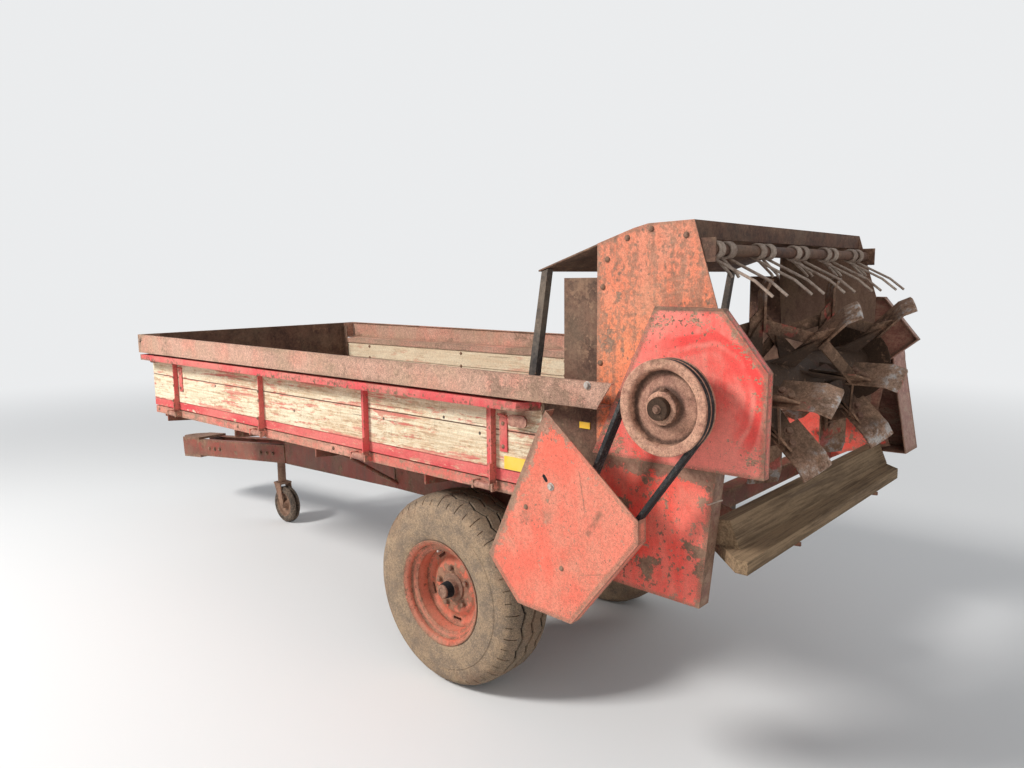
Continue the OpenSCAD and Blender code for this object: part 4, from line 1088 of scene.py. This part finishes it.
SMALL_TYRE = [
    (0.0110, 0.1198), (0.0210, 0.1155), (0.0290, 0.1050), (0.0325, 0.0940), (0.0300, 0.0830), (0.0250, 0.0760),
]
SMALL_TYRE_BORE = (0.0, 0.0705)
SMALL_RIM = [
    (0.0262, 0.0800), (0.0280, 0.0770), (0.0240, 0.0725), (0.0120, 0.0690), (0.0085, 0.0620), (0.0070, 0.0330),
    (0.0150, 0.0270), (0.0320, 0.0245), (0.0330, 0.0230), (0.0330, 0.0088),
]


class SPREADER_OT_jockey_wheel(bpy.types.Operator):
    """Spin the small wheel that the spreader stands on"""

    bl_idname = "spreader.jockey_wheel"
    bl_label = "Jockey wheel"

    def execute(self, context):
        low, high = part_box("jockey_wheel")
        centre = (low + high) / 2
        profile = both_ways(SMALL_TYRE) + [SMALL_TYRE_BORE]
        tyre = finish(lathe("jockey_tyre", profile, 64, 1.0, centre), "jockey_wheel", "small_tyre")
        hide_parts("jockey_wheel")
        finish(lathe("jockey_rim", both_ways(SMALL_RIM), 48, 1.0, centre), "jockey_wheel", "iron")
        return {"FINISHED"}


# Angle strip under the rims

STRIP_BACK, STRIP_FRONT = -0.540, 2.263
STRIP_INNER, STRIP_OUTER = 0.6320, 0.7320
STRIP_LOW, STRIP_THICK = 1.1700, 0.0030


class SPREADER_OT_rim_strips(bpy.types.Operator):
    """Fold the strip under each rim that closes the gap over the drop side"""

    bl_idname = "spreader.rim_strips"
    bl_label = "Rim strips"

    def execute(self, context):
        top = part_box("rims")[0].z
        for word, side in SIDES:
            x, y = side * (STRIP_INNER + STRIP_OUTER) / 2, (STRIP_BACK + STRIP_FRONT) / 2
            size = (STRIP_OUTER - STRIP_INNER, STRIP_FRONT - STRIP_BACK, STRIP_THICK)
            strip = block("rim_strip_" + word, at(x, y, top - STRIP_THICK / 2), size)
            edge = side * (STRIP_INNER + STRIP_THICK)
            open_for_edit(strip, "VERT")
            bpy.ops.mesh.select_all(action="SELECT")
            bpy.ops.mesh.bisect(plane_co=(edge, 0, 0), plane_no=(1, 0, 0))
            pick_faces(strip, lambda face: face.normal.z < -0.9 and abs(face.center.x) < abs(edge))
            drop = STRIP_LOW - top + STRIP_THICK
            bpy.ops.mesh.extrude_region_move(TRANSFORM_OT_translate={"value": (0, 0, drop)})
            close_edit()
            bevel(strip, 0.0008)
            finish(strip, CHASSIS, "rim", 30.0)
        return {"FINISHED"}


# Top rails of the drop sides

RAIL_BACK, RAIL_FRONT = -0.5440, 2.3290
RAIL_INNER, RAIL_OUTER = 0.6680, 0.7380
RAIL_LOW, RAIL_HOLLOW, RAIL_THICK = 1.1590, 0.020, 0.0035
RAIL_SLANT = 0.8


class SPREADER_OT_side_rails(bpy.types.Operator):
    """Add the red rail along the outer top edge of each drop side"""

    bl_idname = "spreader.side_rails"
    bl_label = "Side rails"

    def execute(self, context):
        for word, side in SIDES:
            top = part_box("side_steel_" + word)[1].z - 0.0002
            size = (RAIL_OUTER - RAIL_INNER, RAIL_FRONT - RAIL_BACK, top - RAIL_LOW)
            x, y = side * (RAIL_INNER + RAIL_OUTER) / 2, (RAIL_BACK + RAIL_FRONT) / 2
            rail = block("side_rail_" + word, at(x, y, (top + RAIL_LOW) / 2), size)
            open_for_edit(rail)
            pick_faces(rail, lambda face: face.normal.y < -0.9)
            bpy.ops.transform.rotate(value=-side * RAIL_SLANT, orient_axis="Z", orient_type="GLOBAL")
            bpy.ops.transform.resize(value=(1 / math.cos(RAIL_SLANT), 1, 1))
            bpy.ops.transform.translate(value=(0, size[0] * math.sin(RAIL_SLANT) / 2, 0))
            pick_faces(rail, lambda face: face.normal.z < -0.9)
            bpy.ops.mesh.inset(thickness=RAIL_THICK, depth=0.0)
            bpy.ops.mesh.extrude_region_move(TRANSFORM_OT_translate={"value": (0, 0, RAIL_HOLLOW)})
            close_edit()
            bevel(rail, 0.0012)
            finish(rail, "drop_side_" + word, "red", 30.0)
        return {"FINISHED"}


# Bolts and small fittings

POST_Y = (2.030, 1.160, 0.375, -0.323)
POST_BOLTS_Z = (1.152, 1.076, 1.031, 0.948)
STRAP_Y = (1.9925, -0.3775)
STRAP_BOLTS_Z = (1.098, 1.018)
PLANK_STUBS = [(0.270, 1.042), (-0.079, 1.086), (-0.262, 1.049), (0.905, 1.006), (1.620, 1.060)]


class SPREADER_OT_side_bolts(bpy.types.Operator):
    """Put the bolts into the posts, straps and planks of both drop sides"""

    bl_idname = "spreader.side_bolts"
    bl_label = "Drop side bolts"

    def execute(self, context):
        for word, side in SIDES:
            body, boards = "drop_side_" + word, "side_boards_" + word
            posts = [(y, z) for y in POST_Y for z in POST_BOLTS_Z]
            places = [(y + 0.004, z) for y, z in posts]
            places += [(y, z) for y in STRAP_Y for z in STRAP_BOLTS_Z]
            seats = seats_from(side, "side_steel_" + word, places)
            bolt = round_bolt(context.scene.spreader.side_bolt, 0.0045)
            stamp("side_bolts_" + word, bolt, seats, body, "iron", 11)
            seats = seats_from(side, boards, PLANK_STUBS)
            stamp("plank_stubs_" + word, round_bolt(0.0062, 0.002), seats, body, "dark_iron", 12)
            seats = [surface_at(boards, at(0.0, y, z), (side, 0, 0)) for y, z in posts]
            stamp("side_nuts_" + word, hex_bolt(0.0068, 0.006, 0.010), seats, body, "iron", 13)
        return {"FINISHED"}


PLATE_BOLTS = [
    (-0.869, 1.700), (-0.949, 1.722), (-0.784, 1.559), (-0.776, 1.330), (-1.060, 1.700), (-0.800, 1.640),
]
PANEL_BOLTS = [(-1.105, 0.800), (-1.160, 1.010)]
RIM_BOLTS = [(-0.783, 1.270), (2.300, 1.270)]
NOSE_BOLTS = [(y, 0.5565 - (y - 1.93) * 0.0977) for y in (2.06, 2.13, 2.20, 2.72, 2.79, 2.86)]
SILL_BOLTS = [(y, 0.873) for y in (2.290, 1.420, 0.620, -0.600, -0.820)]
# Half the side of the square of bolts on a bearing, and a place beside all bearings
ROTOR_SQUARE, DRIVE_SQUARE, BEARINGS_BESIDE = 0.046, 0.036, 0.75
FOOT_X, FOOT_Y, FOOT_ABOVE = 0.695, (-0.497, -0.474), 1.5


def square(y, z, half):
    """The corners of a square about (y, z)."""
    return [(y + across, z + up) for across in (-half, half) for up in (-half, half)]


def bearing_seats():
    """Four bolts round each rotor bearing and round the drive shaft's bearing."""
    rotor, drive = square(ROTOR_Y, ROTOR_Z, ROTOR_SQUARE), square(DRIVE_Y, DRIVE_Z, DRIVE_SQUARE)
    return [
        seat for side, places in ((-1.0, rotor), (1.0, rotor), (-1.0, drive))
        for seat in seats_from(side, "shaft_bearings", places, BEARINGS_BESIDE)
    ]


class SPREADER_OT_chassis_bolts(bpy.types.Operator):
    """Put the bolts into the plates, panels, rims, bearings, sills and drawbar"""

    bl_idname = "spreader.chassis_bolts"
    bl_label = "Chassis bolts"

    def execute(self, context):
        for name, template, size, node, places, finish_name, seed in (
            ("plate_bolts", round_bolt, (0.0095, 0.006), "housing_plates", PLATE_BOLTS, "iron", 21),
            ("panel_bolts", round_bolt, (0.0075, 0.004), "lower_panels", PANEL_BOLTS, "iron", 22),
            ("rim_bolts", hex_bolt, (0.0095, 0.008, 0.013), "rims", RIM_BOLTS, "plated", 23),
            ("nose_bolts", hex_bolt, (0.011, 0.009, 0.015), "drawbar_nose", NOSE_BOLTS, "iron", 24),
            ("sill_bolts", round_bolt, (0.0085, 0.005), "side_sills", SILL_BOLTS, "iron", 25),
        ):
            stamp(name, template(*size), seats_on_both(node, places), CHASSIS, finish_name, seed)
        stamp("bearing_bolts", hex_bolt(0.0095, 0.008, 0.0125), bearing_seats(), CHASSIS, "iron", 26)
        starts = [at(side * FOOT_X, y, FOOT_ABOVE) for _, side in SIDES for y in FOOT_Y]
        seats = [surface_at("hood_stays", start, (0, 0, -1)) for start in starts]
        stamp("stay_foot_bolts", hex_bolt(0.0075, 0.006, 0.0105), seats, CHASSIS, "iron", 27)
        return {"FINISHED"}


PADDLES = 8
PADDLE_PITCH = 0.150
FIRST_PADDLE = -0.525
PADDLE_TURN = math.radians(45.0)
BLADE_TURN = math.radians(35.0)
BLADE_BOLTS = [(0.016, 0.222), (0.036, 0.188)]
BLADE_BESIDE = 0.030


class SPREADER_OT_rotor_bolts(bpy.types.Operator):
    """Put two bolts with their nuts through the foot of every blade"""

    bl_idname = "spreader.rotor_bolts"
    bl_label = "Blade bolts"

    def execute(self, context):
        heads, nuts = [], []
        shaft = Vector((0.0, PULLEY_PLACE.y, PULLEY_PLACE.z))
        for first_turn in (math.pi / 2, math.pi * 1.5):
            for i in range(PADDLES):
                turn = first_turn + i * PADDLE_TURN
                blade = Matrix.Translation(shaft + Vector((FIRST_PADDLE + i * PADDLE_PITCH, 0.0, 0.0)))
                blade = blade @ Matrix.Rotation(turn, 4, "X") @ Matrix.Rotation(BLADE_TURN, 4, "Z")
                for x, z in BLADE_BOLTS:
                    for sign, seats in ((-1.0, heads), (1.0, nuts)):
                        start = blade @ Vector((x, sign * BLADE_BESIDE, z))
                        way = blade.to_3x3() @ Vector((0.0, -sign, 0.0))
                        seats.append(surface_at("rotor_paddles", start, way))
        stamp("blade_bolts", round_bolt(0.0120, 0.008), heads, "rotor", "iron", 31)
        stamp("blade_nuts", hex_bolt(0.0105, 0.010, 0.0145), nuts, "rotor", "iron", 32)
        return {"FINISHED"}


# Place and turn of the guard slot's painted shade, a black bar on the sheet
SLOT_Y, SLOT_Z, SLOT_TURN = -0.714, 0.999, math.radians(52.0)
SLOT_RADIUS, SLOT_HALF, SLOT_THICK = 0.0058, 0.007, 0.0008
WIRE_ENDS = [(-0.7010, -1.158, 0.966), (-0.7060, -1.206, 0.988)]
WIRE_RADIUS, WIRE_OUT, WIRE_BEND = 0.0022, Vector((-0.008, 0.0, 0.0)), Vector((0.0, 0.012, -0.001))
GUARD_BOLT = [(-0.736, 0.977)]
GUARD_STUDS = [(-0.638, 0.897), (-0.775, 0.735)]
RIGHT_BOLTS = [(-0.640, 0.915), (-1.230, 0.915), (-1.086, 1.345), (-0.930, 0.905)]


def slot_shade_bar():
    """The long hole near the belt guard's top bolt, as painted shade: a flat, black rounded bar on the sheet."""
    deselect()
    bpy.ops.mesh.primitive_cylinder_add(vertices=20, radius=SLOT_RADIUS, depth=SLOT_THICK)
    slot = begin("slot_shade_bar")
    open_for_edit(slot, "VERT")
    bpy.ops.mesh.select_all(action="SELECT")
    bpy.ops.mesh.bisect(plane_co=(0, 0, 0), plane_no=(1, 0, 0))
    close_edit()
    for vert in slot.data.vertices:
        if abs(vert.co.x) > 0.0005:
            vert.co.x += math.copysign(SLOT_HALF, vert.co.x)
    [(place, normal)] = seats_from(-1, "belt_guard", [(SLOT_Y, SLOT_Z)])
    turn = Matrix.Rotation(SLOT_TURN, 4, "X") @ normal.to_track_quat("Z", "Y").to_matrix().to_4x4()
    slot.data.transform(Matrix.Translation(place) @ turn)
    return slot


def panel_wire():
    """A short bent wire on the left lower panel's rear fold."""
    deselect()
    bpy.ops.curve.primitive_bezier_curve_add()
    curve = begin("panel_wire").data
    for knot, place in zip(curve.splines[0].bezier_points, WIRE_ENDS):
        knot.handle_left_type = knot.handle_right_type = "FREE"
        knot.co = at(*place)
        knot.handle_left = knot.co + WIRE_OUT + WIRE_BEND
        knot.handle_right = knot.co + WIRE_OUT - WIRE_BEND
    curve.bevel_depth = WIRE_RADIUS
    curve.use_fill_caps = True
    bpy.ops.object.convert(target="MESH")
    return begin("panel_wire")


class SPREADER_OT_guard_fittings(bpy.types.Operator):
    """Put the slot's painted shade, a black bar, and its bolts on the belt guard, the wire behind it, and the
    right guard's bolts
    """

    bl_idname = "spreader.guard_fittings"
    bl_label = "Guard fittings"

    def execute(self, context):
        # Painted shade: a black bar stands for the belt guard's slot
        finish(slot_shade_bar(), CHASSIS, "boot")
        finish(panel_wire(), CHASSIS, "tine")
        for name, template, size, side, node, places, finish_name, seed in (
            ("guard_bolt", hex_bolt, (0.0085, 0.007, 0.0125), -1, "belt_guard", GUARD_BOLT, "plated", 41),
            ("guard_studs", round_bolt, (0.0085, 0.005), -1, "belt_guard", GUARD_STUDS, "iron", 42),
            ("right_guard_bolts", hex_bolt, (0.0085, 0.007, 0.0125), 1, "right_guard", RIGHT_BOLTS, "iron", 43),
        ):
            stamp(name, template(*size), seats_from(side, node, places), CHASSIS, finish_name, seed)
        return {"FINISHED"}


class SPREADER_OT_stage(bpy.types.Operator):
    """Add the pale floor, the soft lamps and the camera"""

    bl_idname = "spreader.stage"
    bl_label = "Stage"

    def execute(self, context):
        add_floor()
        add_lamps(context.scene.spreader)
        add_camera(context.scene)
        return {"FINISHED"}


BACKGROUND = (0.83, 0.84, 0.85)
FLOOR = (0.80, 0.79, 0.77)
FLOOR_SIZE, FADE_FROM, FADE_TO = 200.0, 3.0, 11.0


def add_floor():
    """Pale floor that fades into the background far from the spreader and keeps its shadow."""
    deselect()
    bpy.ops.mesh.primitive_plane_add(size=FLOOR_SIZE, location=(0.0, 0.0, 0.0))
    floor = bpy.context.object
    floor.name = "floor"
    bpy.ops.object.transform_apply(location=True, rotation=True, scale=True)
    material, s, surface = new_material("pale floor")
    s.put(surface.inputs["Base Color"], FLOOR)
    surface.inputs["Roughness"].default_value = 0.9
    glow = s.node("ShaderNodeEmission", Color=BACKGROUND, Strength=1.0)
    away = s.node("ShaderNodeVectorMath", operation="LENGTH")
    s.put(away.inputs[0], s.point)
    fade = Field(s, away.outputs["Value"]).ramp(FADE_FROM, FADE_TO) * camera_sees(s)
    both = s.node("ShaderNodeMixShader")
    for socket, value in zip(both.inputs, (fade, surface.outputs[0], glow.outputs[0])):
        s.put(socket, value)
    s.put(s.tree.nodes["Material Output"].inputs["Surface"], both.outputs[0])
    floor.data.materials.append(material)


def camera_sees(s):
    """1 for what the camera sees straight, in a gloss or through glass."""
    path = s.node("ShaderNodeLightPath").outputs
    seen = s.most(path["Is Camera Ray"], path["Is Glossy Ray"])
    return s.most(seen, path["Is Transmission Ray"])


# Name, place, size and power of each lamp
LAMPS = [
    ("key", (-6.2, 2.4, 5.8), 1.8, 700.0),
    ("fill", (-5.0, -6.5, 4.0), 6.0, 95.0),
    ("back", (6.5, -4.0, 5.5), 6.0, 105.0),
]
LAMP_AIM = (0.0, -0.8, 0.8)
SKY, SKY_LEVEL = (0.84, 0.89, 0.96), 0.40


def add_lamps(settings):
    for name, place, size, power in LAMPS:
        bpy.ops.object.light_add(type="AREA", location=place)
        lamp = bpy.context.object
        lamp.name = name
        lamp.data.size = size
        lamp.data.energy = power * settings.light_level
        aim = Vector(LAMP_AIM) - Vector(place)
        lamp.rotation_mode = "QUATERNION"
        lamp.rotation_quaternion = aim.to_track_quat("-Z", "Y")
    world = bpy.data.worlds.new("studio")
    bpy.context.scene.world = world
    world.use_nodes = True
    world.node_tree.nodes.clear()
    s = Shader(world.node_tree)
    seen = camera_sees(s)
    light = s.node(
        "ShaderNodeBackground", Color=s.mix(seen, SKY, BACKGROUND), Strength=seen.ramp(0.0, 1.0, SKY_LEVEL, 1.0)
    )
    s.node("ShaderNodeOutputWorld", Surface=light.outputs[0])


CAMERA_PLACE = (-2.600, -2.142, 1.5835)
CAMERA_YAW, CAMERA_PITCH, CAMERA_ROLL = 48.2046, 7.6375, 0.5994
CAMERA_LENS, CAMERA_SENSOR = 27.344, 36.0


def add_camera(scene):
    yaw, pitch, roll = map(math.radians, (CAMERA_YAW, CAMERA_PITCH, CAMERA_ROLL))
    ahead = Vector((math.sin(yaw) * math.cos(pitch), math.cos(yaw) * math.cos(pitch), -math.sin(pitch)))
    level = Vector((math.cos(yaw), -math.sin(yaw), 0.0))
    down = ahead.cross(level)
    right = math.cos(roll) * level + math.sin(roll) * down
    up = math.sin(roll) * level - math.cos(roll) * down
    bpy.ops.object.camera_add(location=at(*CAMERA_PLACE))
    camera = bpy.context.object
    camera.data.lens = CAMERA_LENS
    camera.data.sensor_width = CAMERA_SENSOR
    turn = Matrix((right, up, -ahead)).transposed()
    camera.matrix_world = Matrix.Translation(at(*CAMERA_PLACE)) @ turn.to_4x4()
    scene.camera = camera
    scene.view_settings.view_transform = "Standard"


def paint_property(name, description, default):
    return bpy.props.FloatVectorProperty(
        name=name, description=description, default=default, size=3, subtype="COLOR", min=0.0, max=1.0
    )


class SpreaderSettings(bpy.types.PropertyGroup):
    """What can be set before the steps are run"""

    panel_colour: paint_property("Panel paint", "Fresh paint of the bearing panels", (0.92, 0.090, 0.075))
    rim_colour: paint_property("Rim paint", "Paint that is left on the box rims", (0.57, 0.265, 0.190))
    wheel_colour: paint_property("Wheel paint", "Fresh paint of the steel wheels", (0.58, 0.120, 0.065))
    plank_colour: paint_property("Plank paint", "Cream paint of the planks", (0.80, 0.72, 0.53))
    tyre_dust: paint_property("Tyre dust", "Dust on the road tyres", (0.36, 0.250, 0.155))
    side_bolt: bpy.props.FloatProperty(
        name="Side bolt radius", description="Radius of the bolt heads on the drop sides", default=0.0078,
        min=0.005, max=0.010, unit="LENGTH", subtype="DISTANCE",
    )
    light_level: bpy.props.FloatProperty(
        name="Light level", description="Strength of all lamps", default=1.0, min=0.2, max=3.0, subtype="FACTOR"
    )


class SPREADER_PT_panel(bpy.types.Panel):
    """The steps that dress the spreader"""

    bl_label = "Spreader"
    bl_idname = "SPREADER_PT_panel"
    bl_space_type = "VIEW_3D"
    bl_region_type = "UI"
    bl_category = "Spreader"

    def draw(self, context):
        for name in SpreaderSettings.__annotations__:
            self.layout.prop(context.scene.spreader, name)
        for step in STEPS:
            self.layout.operator(step.bl_idname)


STEPS = [
    SPREADER_OT_finishes, SPREADER_OT_road_tyres, SPREADER_OT_road_wheels, SPREADER_OT_pulley,
    SPREADER_OT_jockey_wheel, SPREADER_OT_rim_strips, SPREADER_OT_side_rails, SPREADER_OT_side_bolts,
    SPREADER_OT_chassis_bolts, SPREADER_OT_rotor_bolts, SPREADER_OT_guard_fittings, SPREADER_OT_stage,
]
CLASSES = [SpreaderSettings, *STEPS, SPREADER_PT_panel]


def register():
    for item in CLASSES:
        bpy.utils.register_class(item)
    bpy.types.Scene.spreader = bpy.props.PointerProperty(type=SpreaderSettings)


def unregister():
    del bpy.types.Scene.spreader
    for item in reversed(CLASSES):
        bpy.utils.unregister_class(item)


def main():
    register()
    for step in STEPS:
        group, name = step.bl_idname.split(".")
        getattr(getattr(bpy.ops, group), name)()
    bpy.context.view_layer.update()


if __name__ == "__main__":
    main()
